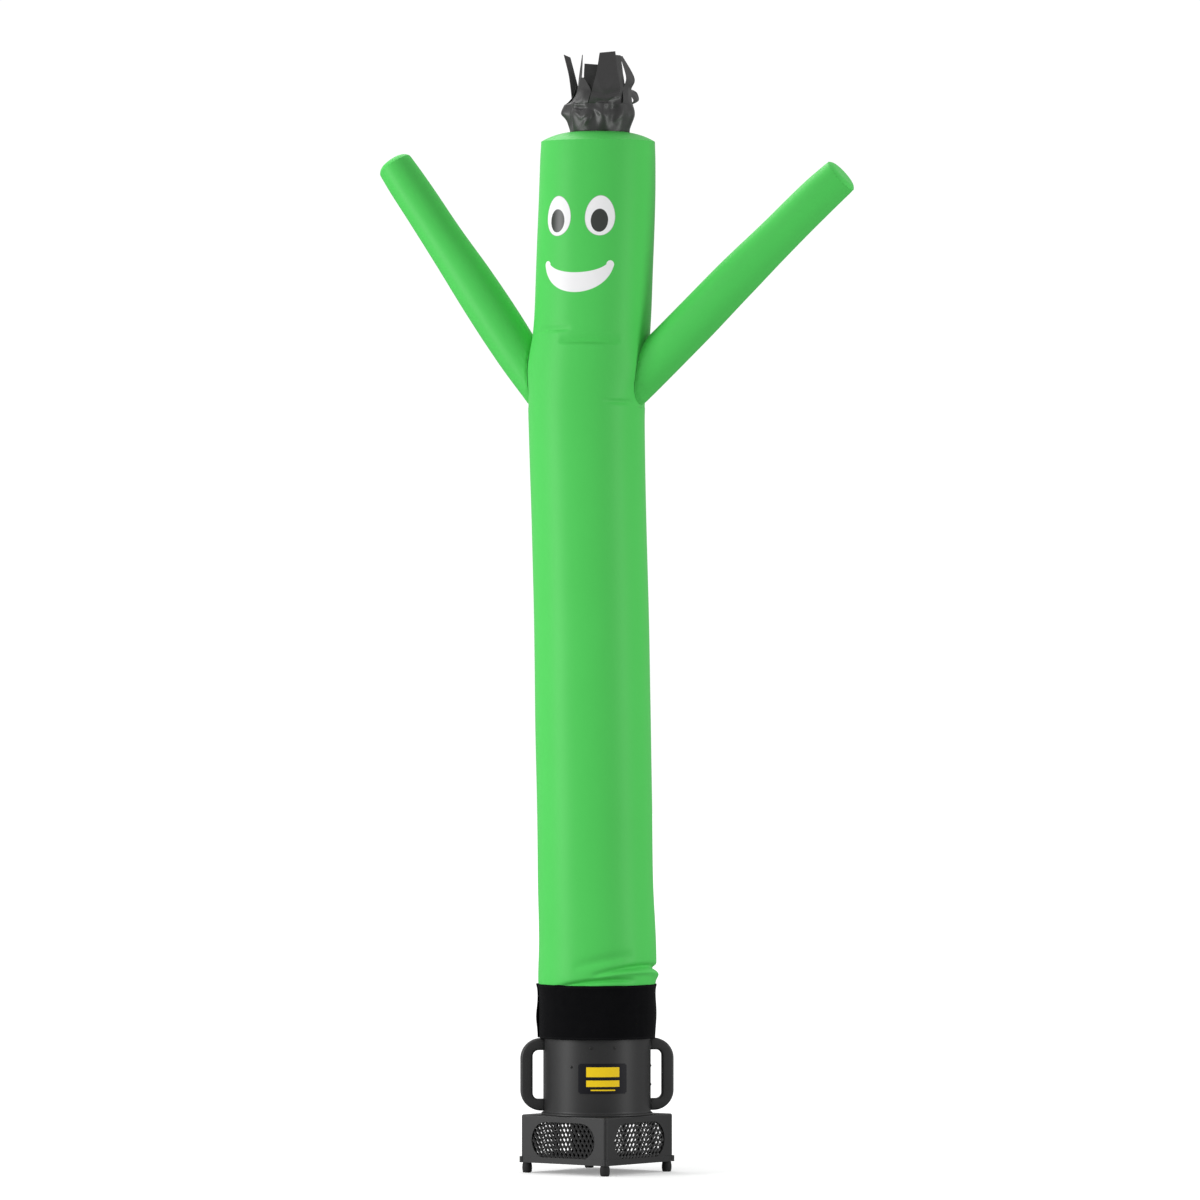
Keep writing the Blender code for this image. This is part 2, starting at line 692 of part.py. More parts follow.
def make_box():
    """The base box with its windows, and the pan under it."""
    side = BOX_SIDE
    mesh = block_mesh("base_box", side, PAN_BOTTOM + PAN_PLATE + GAP, BOX_TOP, BOX_CORNER, BOX_EDGE)
    box = add_object("base_box", mesh, parts, base, PAINTED_METAL)
    inside = side - 2 * BOX_WALL
    mesh = block_mesh("box_room", inside, 0.0, BOX_TOP - BOX_WALL, BOX_CORNER - BOX_WALL)
    cut(box, add_cutter("box_room", mesh, base))
    mesh = cylinder_mesh("box_hole", DUCT_RADIUS - DUCT_WALL, 4 * BOX_WALL)
    hole = add_cutter("box_hole", mesh, base)
    hole.location.z = BOX_TOP
    cut(box, hole)
    for number in range(2):
        name = f"window_shape_{number + 1}"
        window = add_cutter(
            name, outline_mesh(name, stadium(WINDOW_WIDTH, WINDOW_HEIGHT), 2 * side), base
        )
        window.location.z = WINDOW_MIDDLE
        window.rotation_euler.z = math.radians(90 * number)
        cut(box, window)

    lip = side / 2 + GAP
    rim = 2 * (lip + PAN_LIP)
    mesh = block_mesh("base_pan", rim, PAN_BOTTOM, PAN_BOTTOM + PAN_HEIGHT, BOX_CORNER + PAN_LIP)
    pan = add_object("base_pan", mesh, parts, base, PAINTED_METAL)
    for number in range(4):
        name = f"lug_{number + 1}"
        lug = add_cutter(name, cylinder_mesh(name, LUG_RADIUS, PAN_HEIGHT, LUG_SIDES), blower)
        angle = math.radians(90 * number)
        lug.location = (LUG_PLACE * math.cos(angle), LUG_PLACE * math.sin(angle), 0)
        lug.location.z = PAN_BOTTOM + PAN_HEIGHT / 2
        lug.rotation_euler.z = math.radians(180 / LUG_SIDES)
        cut(pan, lug, "UNION")
    mesh = block_mesh("pan_room", 2 * lip, PAN_BOTTOM + PAN_PLATE, BOX_TOP, BOX_CORNER + GAP)
    cut(pan, add_cutter("pan_room", mesh, base))


def mesh_cutter(name):
    """The diamonds of one grille, as upright prisms in rows that are staggered."""
    bm = bmesh.new()
    within = WINDOW_HEIGHT / 2
    straight = WINDOW_WIDTH / 2 - within
    wide, tall = MESH_WIDE * MESH_OPEN / 2, MESH_TALL * MESH_OPEN / 2
    for row in range(1 - 2 * MESH_ROWS, 2 * MESH_ROWS, 2):
        height = row * MESH_TALL / 4
        stagger = 0.5 if row % 4 == 1 else 0.0
        for column in range(-MESH_COLUMNS, MESH_COLUMNS + 1):
            x = (column + stagger) * MESH_WIDE
            if math.hypot(max(0, abs(x) - straight), height) > within:
                continue
            place = Matrix.Translation((x, 0, height)) @ Matrix.Diagonal((wide, 1, tall, 1))
            turn = Matrix.Rotation(math.pi / 2, 4, "X")
            bmesh.ops.create_cone(
                bm,
                cap_ends=True,
                segments=4,
                radius1=1,
                radius2=1,
                depth=10 * GRILLE_THICK,
                matrix=place @ turn,
            )
    bmesh.ops.recalc_face_normals(bm, faces=bm.faces)
    return add_cutter(name, mesh_of(name, bm), base)


def make_grilles():
    """The expanded metal behind the windows, its openings at a coarser pitch."""
    height = GRILLE_TOP - GRILLE_BOTTOM
    for number in range(4):
        name = f"grille_{number + 1}"
        bm = bmesh.new()
        size = Matrix.Diagonal((GRILLE_WIDTH, GRILLE_THICK, height, 1))
        bmesh.ops.create_cube(bm, size=1, matrix=size)
        grille = add_object(name, mesh_of(name, bm), parts, base, DARK_STEEL)
        holes = mesh_cutter(name + "_holes")
        angle = math.radians(90 * number)
        away = BOX_SIDE / 2 - BOX_WALL - GAP - GRILLE_THICK / 2
        for item, level in ((grille, GRILLE_BOTTOM + height / 2), (holes, WINDOW_MIDDLE)):
            item.location = (away * math.sin(angle), -away * math.cos(angle), level)
            item.rotation_euler.z = angle
        cut(grille, holes)


def make_feet():
    """Four barrel-shaped feet under the corners."""
    side = [(ring.radius, ring.share * FOOT_HEIGHT) for ring in FOOT]
    profile = [(0, FOOT_HEIGHT)] + side + [(0, 0)]
    for number in range(4):
        foot = turned(f"foot_{number + 1}", profile, blower, BLACK_RUBBER, FOOT_SIDES, loop=False)
        angle = math.radians(90 * number)
        foot.location = (FOOT_PLACE * math.cos(angle), FOOT_PLACE * math.sin(angle), 0)


def make_handles(shape):
    """Two D handles, their arms trimmed to the duct."""
    start = DUCT_RADIUS - HANDLE_SUNK
    points = []
    for line, way in ((HANDLE_OUTER, 1), (HANDLE_INNER, -1)):
        across, up = line.reach - line.corner, line.half_height - line.corner
        points.append((start, -way * line.half_height))
        points += arc((across, -way * up), line.corner, -90 * way, 0, line.steps)
        points += arc((across, way * up), line.corner, 0, 90 * way, line.steps)
        points.append((start, way * line.half_height))
    for name, turn_by in (("handle_left", 180), ("handle_right", 0)):
        mesh = outline_mesh(name, points, HANDLE_DEPTH, HANDLE_EDGE)
        handle = add_object(name, mesh, parts, blower, BLACK_PLASTIC)
        handle.location.z = HANDLE_MIDDLE
        handle.rotation_euler.z = math.radians(turn_by)
        cut(handle, shape)


def make_label():
    """The bare label plate, bent round the duct's front."""
    half = math.degrees(math.asin(LABEL_WIDTH / 2 / DUCT_RADIUS))
    columns = LABEL_FACETS
    facet = math.cos(math.radians(half / columns))
    radius = (DUCT_RADIUS + GAP) / facet + LABEL_THICK

    def place(column, row):
        angle = math.radians(half * (2 * column / columns - 1))
        height = LABEL_MIDDLE + (row - 0.5) * LABEL_HEIGHT
        return Vector((radius * math.sin(angle), -radius * math.cos(angle), height))

    mesh = sheet_mesh("label_plate", columns, 1, place)
    label = add_object("label_plate", mesh, parts, blower, LABEL_FILM)
    thicken(label, LABEL_THICK)


def make_gland(shape):
    """The cable gland at the back of the duct."""
    turn = Matrix.Rotation(math.pi / 2, 4, "X")
    mesh = cylinder_mesh("cable_gland", GLAND_RADIUS, GLAND_LENGTH, GLAND_SIDES, turn)
    gland = add_object("cable_gland", mesh, parts, blower, BLACK_PLASTIC)
    gland.location = (0, DUCT_RADIUS + GLAND_LENGTH / 6, GLAND_HEIGHT)
    cut(gland, shape)


def centre_on_origin():
    """Moves the whole so that its bounding box is centred in X and Y."""
    bpy.context.view_layer.update()
    graph = bpy.context.evaluated_depsgraph_get()
    points = []
    for item in parts.objects:
        if item.type == "MESH":
            shown = item.evaluated_get(graph)
            mesh = shown.to_mesh()
            points += [shown.matrix_world @ vertex.co for vertex in mesh.vertices]
            shown.to_mesh_clear()
    for axis in (0, 1):
        values = [point[axis] for point in points]
        dancer.location[axis] = -(min(values) + max(values)) / 2


clear_scene()
parts = bpy.data.collections.new("air_dancer")
cutters = bpy.data.collections.new("cutters")
for collection in (parts, cutters):
    bpy.context.scene.collection.children.link(collection)

dancer = add_empty("dancer")
blower = add_empty("blower", dancer)
base = add_empty("base", blower, 45)
figure = add_empty("figure", dancer, FIGURE_TURN)

duct_shape = make_duct()
make_box()
make_grilles()
make_feet()
make_handles(duct_shape)
make_label()
make_gland(duct_shape)
make_collar()
make_body()
make_hair()
centre_on_origin()
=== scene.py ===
"""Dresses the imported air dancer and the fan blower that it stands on.

Metres, +Z up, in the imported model's own frame. The blower's axis is found from
its feet. The figure has a frame of its own on that axis, its shoulders along X
and its face towards -Y, and the hair has one on the crown.
"""

import logging
import math
from collections.abc import Callable, Sequence
from dataclasses import dataclass, replace
from enum import Enum
from functools import lru_cache
from typing import NamedTuple

import bmesh
import bpy
from mathutils import Matrix, Vector, noise


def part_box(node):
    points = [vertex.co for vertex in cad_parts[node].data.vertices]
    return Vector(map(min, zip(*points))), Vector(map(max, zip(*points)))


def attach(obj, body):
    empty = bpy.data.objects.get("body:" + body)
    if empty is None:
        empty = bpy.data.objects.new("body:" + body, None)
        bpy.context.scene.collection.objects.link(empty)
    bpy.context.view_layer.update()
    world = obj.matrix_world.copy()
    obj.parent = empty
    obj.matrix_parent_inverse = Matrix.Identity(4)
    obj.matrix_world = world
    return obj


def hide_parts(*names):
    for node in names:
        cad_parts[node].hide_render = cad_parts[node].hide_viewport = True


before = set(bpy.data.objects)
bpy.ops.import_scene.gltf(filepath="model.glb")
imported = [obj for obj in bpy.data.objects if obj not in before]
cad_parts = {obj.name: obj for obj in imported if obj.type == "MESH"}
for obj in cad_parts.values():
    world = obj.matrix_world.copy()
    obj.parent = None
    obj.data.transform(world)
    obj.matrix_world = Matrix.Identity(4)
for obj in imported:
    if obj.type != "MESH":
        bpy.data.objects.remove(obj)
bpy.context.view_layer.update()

LOG = logging.getLogger("air_dancer")
BODY = "root"

Pair = tuple[float, float]
Colour = tuple[float, float, float]
Socket = bpy.types.NodeSocket
Tree = bpy.types.NodeTree
Material = bpy.types.Material
Mesh = bmesh.types.BMesh
Piece = bpy.types.Object
Place = Callable[[int, int], Vector]
Flat = Callable[[int, int], Pair]

THIN = 0.0008  # thickness of the nylon where it is shown
GAP = 0.0003
WELD = 1e-6
FIGURE_TURN = -24.0  # degrees that the figure is turned on the blower
TUFT_TURN = 17.6  # degrees that the hair is turned on the figure
CROWN_BOTTOM = 2.750
CROWN_RISE = 0.0285
CROWN_POWER = 3.3
DUCT_RADIUS = 0.1435
SWELL = 0.014
SWELL_MIDDLE = 2.145
SWELL_TURN = 32.0
SWELL_HEIGHT = 0.058


class BodyRing(NamedTuple):
    """A ring of the body: its height, its middle's X and its radius."""

    height: float
    sway: float
    radius: float


class Fold(NamedTuple):
    """A trough, or a ridge if its depth is negative, between two turns in degrees."""

    first: float
    last: float
    at_first: float
    at_middle: float
    at_last: float
    depth: float
    above: float
    below: float


class ArmRing(NamedTuple):
    """A ring of an arm: how far out, how high and how wide."""

    reach: float
    height: float
    radius: float


class SleeveRing(NamedTuple):
    """A ring of the hair's sleeve."""

    height: float
    radius: float
    pleat: float


class Lobe(NamedTuple):
    """A bulge of the hair's sleeve: where it is, how far out and how tall."""

    turn: float
    spread: float
    height: float
    out: float
    above: float
    below: float


class Strip(NamedTuple):
    """A strip of hair: three places, the way it faces, its widths and its tip's slant."""

    knee: Colour
    middle: Colour
    tip: Colour
    facing: float
    wide: float
    tip_wide: float
    knee_wide: float = 0.0
    slant: float = 0.0


class Crease(NamedTuple):
    """A crease, or a ridge if its depth is negative, between two places across and up."""

    first: Pair
    last: Pair
    depth: float
    width: float


class Station(NamedTuple):
    """A place on a strip's middle line."""

    up: float
    x: float
    y: float
    z: float
    wide: float


def rows(kind: type, *values: tuple) -> tuple:
    """A table of one kind of row."""
    return tuple(kind(*value) for value in values)


BODY_RINGS = rows(
    BodyRing,
    *((0.355, 0.0, 0.1515), (0.400, 0.0, 0.1515), (0.455, 0.0, 0.1515), (0.487, 0.0, 0.1530)),
    *((0.503, 0.0, 0.1562), (0.530, 0.0010, 0.1578), (0.620, 0.0014, 0.1562), (0.780, -0.0042, 0.1540)),
    *((0.993, -0.0070, 0.1538), (1.207, -0.0112, 0.1545), (1.474, -0.0154, 0.1538)),
    *((1.741, -0.0224, 0.1535), (1.954, -0.0280, 0.1548), (2.050, -0.0290, 0.1558)),
    *((2.150, -0.0235, 0.1562), (2.275, -0.0126, 0.1564), (2.408, -0.0070, 0.1562)),
    *((2.595, 0.0, 0.1556), (2.700, 0.0022, 0.1542), (2.750, 0.0030, 0.1520)),
)
FOLDS = rows(
    Fold,
    (128, 12, 0.534, 0.5535, 0.529, 0.0100, 0.0070, 0.0075),
    (128, 86, 0.543, 0.5465, 0.548, 0.0060, 0.0055, 0.0060),
    (112, 18, 0.527, 0.5375, 0.527, -0.0058, 0.0070, 0.0065),
    (130, 84, 0.522, 0.524, 0.528, -0.0040, 0.009, 0.009),
    (56, -28, 0.517, 0.5140, 0.494, 0.0112, 0.0065, 0.0050),
    (54, -6, 0.583, 0.570, 0.552, 0.0045, 0.015, 0.012),
    (-14, 46, 2.2135, 2.2125, 2.2115, 0.0080, 0.018, 0.0045),
    (-44, -4, 2.2425, 2.2445, 2.2465, 0.0045, 0.011, 0.004),
    (34, 70, 2.056, 2.054, 2.053, 0.0042, 0.006, 0.006),
)
COLLAR_FOLDS = rows(
    Fold,
    (66, 150, 0.428, 0.425, 0.425, -0.0045, 0.045, 0.050),
    (40, 92, 0.430, 0.427, 0.430, 0.0014, 0.007, 0.005),
    (48, 70, 0.372, 0.368, 0.360, 0.0012, 0.006, 0.006),
    (180, 250, 0.470, 0.455, 0.438, 0.0012, 0.008, 0.006),
)
LEFT_RINGS = rows(
    ArmRing,
    *((0.085, 2.029, 0.0500), (0.127, 2.088, 0.0530), (0.172, 2.152, 0.0570), (0.210, 2.207, 0.0592)),
    *((0.256, 2.275, 0.0603), (0.329, 2.382, 0.0581), (0.403, 2.488, 0.0533), (0.476, 2.595, 0.0514)),
    *((0.513, 2.648, 0.0502), (0.5457, 2.6954, 0.0478)),
)
RIGHT_RINGS = rows(
    ArmRing,
    *((0.080, 2.061, 0.0580), (0.120, 2.099, 0.0590), (0.164, 2.141, 0.0595), (0.225, 2.200, 0.0598)),
    *((0.303, 2.275, 0.0595), (0.412, 2.382, 0.0577), (0.524, 2.488, 0.0540), (0.638, 2.595, 0.0528)),
    (0.7006, 2.6492, 0.0502),
)
SLEEVE = rows(
    SleeveRing,
    *((0.027, 0.0780, 0.0), (0.046, 0.0810, 0.0020), (0.074, 0.0850, 0.0040), (0.100, 0.0830, 0.0030)),
)
LOBES = rows(Lobe, (265, 20, 0.076, 0.012, 0.030, 0.012), (82, 34, 0.080, 0.009, 0.030, 0.040))
STRIPS = rows(
    Strip,
    (
        *((0.020, -0.090, 0.130), (0.0235, -0.086, 0.178), (0.025, -0.080, 0.2355)),
        *(2, 0.057, 0.042, 0.075, 0.002),
    ),
    ((0.055, -0.058, 0.135), (0.054, -0.052, 0.185), (0.0535, -0.048, 0.229), 56, 0.042, 0.022),
    ((0.077, -0.030, 0.138), (0.086, -0.018, 0.170), (0.062, -0.004, 0.229), 58, 0.042, 0.012),
    ((0.102, 0.002, 0.112), (0.087, 0.006, 0.135), (0.058, 0.010, 0.147), 44, 0.040, 0.034, 0.036),
    ((0.062, 0.046, 0.140), (0.050, 0.050, 0.170), (0.036, 0.050, 0.200), 142, 0.034, 0.030),
    (
        *((-0.010, 0.076, 0.140), (-0.016, 0.074, 0.176), (-0.0155, 0.070, 0.212)),
        *(182, 0.044, 0.042, 0.050, 0.0015),
    ),
    ((-0.030, 0.062, 0.124), (-0.031, 0.058, 0.142), (-0.030, 0.056, 0.160), 200, 0.032, 0.016),
    ((-0.061, 0.036, 0.135), (-0.070, 0.031, 0.180), (-0.083, 0.028, 0.231), 232, 0.028, 0.028, 0.0, 0.003),
    ((-0.066, 0.004, 0.118), (-0.061, -0.001, 0.134), (-0.058, -0.003, 0.150), 259, 0.022, 0.014),
    ((-0.052, -0.036, 0.130), (-0.047, -0.040, 0.172), (-0.0415, -0.042, 0.230), 283, 0.032, 0.006),
    ((-0.042, -0.071, 0.112), (-0.037, -0.073, 0.135), (-0.042, -0.070, 0.168), 338, 0.036, 0.008),
)
CREASES = rows(
    Crease,
    ((-0.019, 0.1310), (0.016, 0.1215), 0.0040, 0.0080),
    ((0.016, 0.1215), (0.058, 0.1300), 0.0040, 0.0080),
    ((-0.015, 0.1190), (0.018, 0.1100), -0.0030, 0.0050),
    ((0.018, 0.1100), (0.057, 0.1215), -0.0030, 0.0050),
    ((-0.006, 0.1750), (0.013, 0.1330), -0.0030, 0.0080),
    ((0.056, 0.1720), (0.026, 0.1330), -0.0030, 0.0080),
    ((-0.041, 0.0380), (-0.017, 0.0720), -0.0042, 0.0048),
    ((-0.063, 0.0840), (-0.045, 0.0600), -0.0036, 0.0050),
    ((-0.045, 0.0600), (-0.020, 0.0780), -0.0036, 0.0050),
    ((-0.068, 0.1010), (-0.040, 0.0990), -0.0040, 0.0080),
    ((-0.066, 0.0880), (-0.024, 0.0850), 0.0050, 0.0060),
    ((0.022, 0.0800), (0.062, 0.0900), 0.0040, 0.0090),
    ((0.038, 0.0470), (0.060, 0.0700), -0.0036, 0.0060),
    ((-0.016, 0.0900), (0.0185, 0.0650), -0.0036, 0.0060),
    ((0.0205, 0.1000), (0.0210, 0.0620), 0.0050, 0.0060),
)
STRIP_TURN = 360 / len(STRIPS)


def smooth(table: Sequence[NamedTuple], field: str, at: float, key: str = "height") -> float:
    """Reads a table's field on a smooth curve through its rows.

    Args:
        table: Rows in the order of their key.
        field: Name of the field to read.
        at: Where to read it, held to the table's ends.
        key: Name of the field that orders the rows.

    Returns:
        The field's value there.
    """
    keys = [getattr(row, key) for row in table]
    values = [getattr(row, field) for row in table]
    at = min(max(at, keys[0]), keys[-1])
    last = len(keys) - 1
    i = next(n for n in range(1, last + 1) if at <= keys[n])
    span = keys[i] - keys[i - 1]

    def slope(n: int) -> float:
        """The curve's slope at a row, over this span."""
        low, high = max(n - 1, 0), min(n + 1, last)
        return (values[high] - values[low]) / (keys[high] - keys[low]) * span

    t = (at - keys[i - 1]) / span
    return (
        (2 * t**3 - 3 * t**2 + 1) * values[i - 1]
        + (t**3 - 2 * t**2 + t) * slope(i - 1)
        + (3 * t**2 - 2 * t**3) * values[i]
        + (t**3 - t**2) * slope(i)
    )


def bell(distance: float, width: float) -> float:
    """A soft bump of height 1."""
    return math.exp(-((distance / width) ** 2))


def ease(value: float, low: float, high: float) -> float:
    """A smooth step from 0 at low to 1 at high."""
    t = min(1.0, max(0.0, (value - low) / (high - low)))
    return t * t * (3 - 2 * t)


def turn_between(turn: float, other: float) -> float:
    """The smallest angle from one turn to another, in degrees."""
    return (turn - other + 180) % 360 - 180


def around(radius: float, angle: float, height: float) -> Vector:
    """A point round Z, its angle in radians from the front."""
    return Vector((radius * math.sin(angle), -radius * math.cos(angle), height))


def fold_relief(folds: Sequence[Fold], turn: float, height: float) -> float:
    """How far cloth stands out, or in if negative, at its folds.

    Args:
        folds: The folds drawn into it.
        turn: Degrees from the figure's front.
        height: Height above the floor.

    Returns:
        The relief.
    """
    relief = 0.0
    for fold in folds:
        run = turn_between(turn, fold.first) / (fold.last - fold.first)
        if not 0 < run < 1:
            continue
        line = (
            fold.at_first * (1 - run) * (1 - 2 * run)
            + fold.at_middle * 4 * run * (1 - run)
            + fold.at_last * run * (2 * run - 1)
        )
        width = fold.above if height > line else fold.below
        relief -= fold.depth * math.sin(math.pi * run) ** 0.5 * bell(height - line, width)
    return relief


@lru_cache(maxsize=4096)
def body_ring(height: float) -> Pair:
    """The body's sway and radius at a height."""
    return smooth(BODY_RINGS, "sway", height), smooth(BODY_RINGS, "radius", height)


def body_reach(turn: float, height: float) -> float:
    """The body's reach from its own middle, with its folds and the swell at the shoulders.

    Args:
        turn: Degrees from the figure's front.
        height: Height above the floor.

    Returns:
        The reach.
    """
    beside = min(abs(turn_between(turn, 90)), abs(turn_between(turn, 270)))
    swell = SWELL * bell(beside, SWELL_TURN) * bell(height - SWELL_MIDDLE, SWELL_HEIGHT)
    return body_ring(height)[1] + fold_relief(FOLDS, turn, height) + swell


def body_point(turn: float, height: float, grow: float = 0.0) -> Vector:
    """A point of the body's outer side in the figure's frame.

    Args:
        turn: Degrees from the figure's front.
        height: Height above the floor.
        grow: How far outside the cloth.

    Returns:
        The point.
    """
    reach = body_reach(turn, height) + grow
    angle = math.radians(turn)
    sway = body_ring(height)[0]
    return Vector((sway + reach * math.sin(angle), -reach * math.cos(angle), height))


def dome_height(share: float, rise: float, power: float) -> float:
    """How high a domed disc stands at a share of its radius."""
    return rise * (1 - share**power)


class Frames:
    """The places that pieces are built in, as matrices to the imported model's frame."""

    def __init__(self) -> None:
        """Finds the blower's axis from the two feet that lie on X."""
        corners = [*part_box("foot_1"), *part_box("foot_3")]
        middle = sum(corners, Vector()) / len(corners)
        self.axis = Vector((middle.x, middle.y, 0))
        self.blower = Matrix.Translation(self.axis)
        self.base = self.blower @ Matrix.Rotation(math.radians(45), 4, "Z")
        self.figure = self.blower @ Matrix.Rotation(math.radians(FIGURE_TURN), 4, "Z")
        self.crown = self.figure @ Matrix.Translation((BODY_RINGS[-1].sway, 0, CROWN_BOTTOM))
        self.tuft = self.crown @ Matrix.Rotation(math.radians(TUFT_TURN), 4, "Z")


class Weave(Enum):
    """The kinds of cloth, by the pitch of their ripstop grid in metres."""

    RIPSTOP = 0.0055
    FINE = 0.0035


class Nodes:
    """Adds nodes to one tree and joins them. A value is a socket or a constant."""

    def __init__(self, tree: Tree) -> None:
        """Keeps the tree that the nodes go into."""
        self.tree = tree

    def add(self, kind: str, **settings: object) -> bpy.types.Node:
        """Adds a node.

        Args:
            kind: Blender's name for it, a shader node's without ShaderNode.
            settings: Properties to set on it.

        Returns:
            The node.
        """
        node = self.tree.nodes.new(kind if "Node" in kind else "ShaderNode" + kind)
        for name, value in settings.items():
            setattr(node, name, value)
        return node

    def put(self, socket: Socket, value: object) -> None:
        """Links a socket to another, or sets its value.

        Args:
            socket: The input.
            value: A socket or a constant.
        """
        if isinstance(value, Socket):
            self.tree.links.new(value, socket)
        else:
            socket.default_value = value

    def math(self, operation: str, *values: object) -> Socket:
        """Adds a Math node.

        Args:
            operation: What it does.
            values: Its inputs.

        Returns:
            Its output.
        """
        node = self.add("Math", operation=operation)
        for socket, value in zip(node.inputs, values):
            self.put(socket, value)
        return node.outputs[0]

    def apart(self, first: object, second: object) -> Socket:
        """How far two values are apart."""
        return self.math("ABSOLUTE", self.math("SUBTRACT", first, second))

    def span(self, value: object, limits: Pair) -> Socket:
        """Maps a value smoothly.

        Args:
            value: The value.
            limits: Where it maps to 0, and where to 1.

        Returns:
            The mapped value.
        """
        node = self.add("MapRange", interpolation_type="SMOOTHSTEP")
        swap = limits[0] > limits[1]
        items = (value, min(limits), max(limits), float(swap), float(not swap))
        for socket, item in zip(node.inputs, items):
            self.put(socket, item)
        return node.outputs[0]

    def mix(self, factor: object, first: object, second: object) -> Socket:
        """Adds a colour mix.

        Args:
            factor: How much of the second colour.
            first: A socket or a linear colour.
            second: A socket or a linear colour.

        Returns:
            The mixed colour.
        """
        node = self.add("Mix", data_type="RGBA")
        for index, value in ((0, factor), (6, first), (7, second)):
            self.put(node.inputs[index], (*value, 1.0) if isinstance(value, tuple) else value)
        return node.outputs[2]

    def noise(self, place: Socket, scale: object, detail: float = 2.0) -> Socket:
        """Adds a noise texture.

        Args:
            place: Where it is read.
            scale: Its scale.
            detail: Its octaves.

        Returns:
            Its value.
        """
        node = self.add("TexNoise")
        for name, value in (("Vector", place), ("Scale", scale), ("Detail", detail)):
            self.put(node.inputs[name], value)
        return node.outputs[0]

    def split(self, place: Socket) -> Sequence[Socket]:
        """Takes a place apart.

        Args:
            place: The place.

        Returns:
            Its X, Y and Z.
        """
        node = self.add("SeparateXYZ")
        self.put(node.inputs[0], place)
        return node.outputs

    def group(self, tree: Tree, **values: object) -> Sequence[Socket]:
        """Places a node group.

        Args:
            tree: The group.
            values: Its inputs by name, with spaces as underscores.

        Returns:
            Its outputs.
        """
        node = self.add("Group", node_tree=tree)
        for name, value in values.items():
            self.put(node.inputs[name.replace("_", " ")], value)
        return node.outputs


class Effect:
    """A shader node group with named inputs and outputs, built once."""

    def __init__(self, name: str, inputs: dict[str, object], outputs: Sequence[str]) -> None:
        """Makes the group and its sockets.

        Args:
            name: The group's name.
            inputs: Each input's name with its usual value, or None for a vector.
            outputs: Each output's name; Colour is a colour, the others are numbers.
        """
        self.tree = bpy.data.node_groups.new(name, "ShaderNodeTree")
        face = self.tree.interface
        for label, value in inputs.items():
            kind = "Vector" if value is None else "Color" if isinstance(value, tuple) else "Float"
            socket = face.new_socket(name=label, in_out="INPUT", socket_type="NodeSocket" + kind)
            if value is not None:
                socket.default_value = (*value, 1.0) if isinstance(value, tuple) else value
        for label in outputs:
            kind = "Color" if label == "Colour" else "Float"
            face.new_socket(name=label, in_out="OUTPUT", socket_type="NodeSocket" + kind)
        self.nodes = Nodes(self.tree)
        self.given = self.nodes.add("NodeGroupInput").outputs
        self.made = self.nodes.add("NodeGroupOutput").inputs


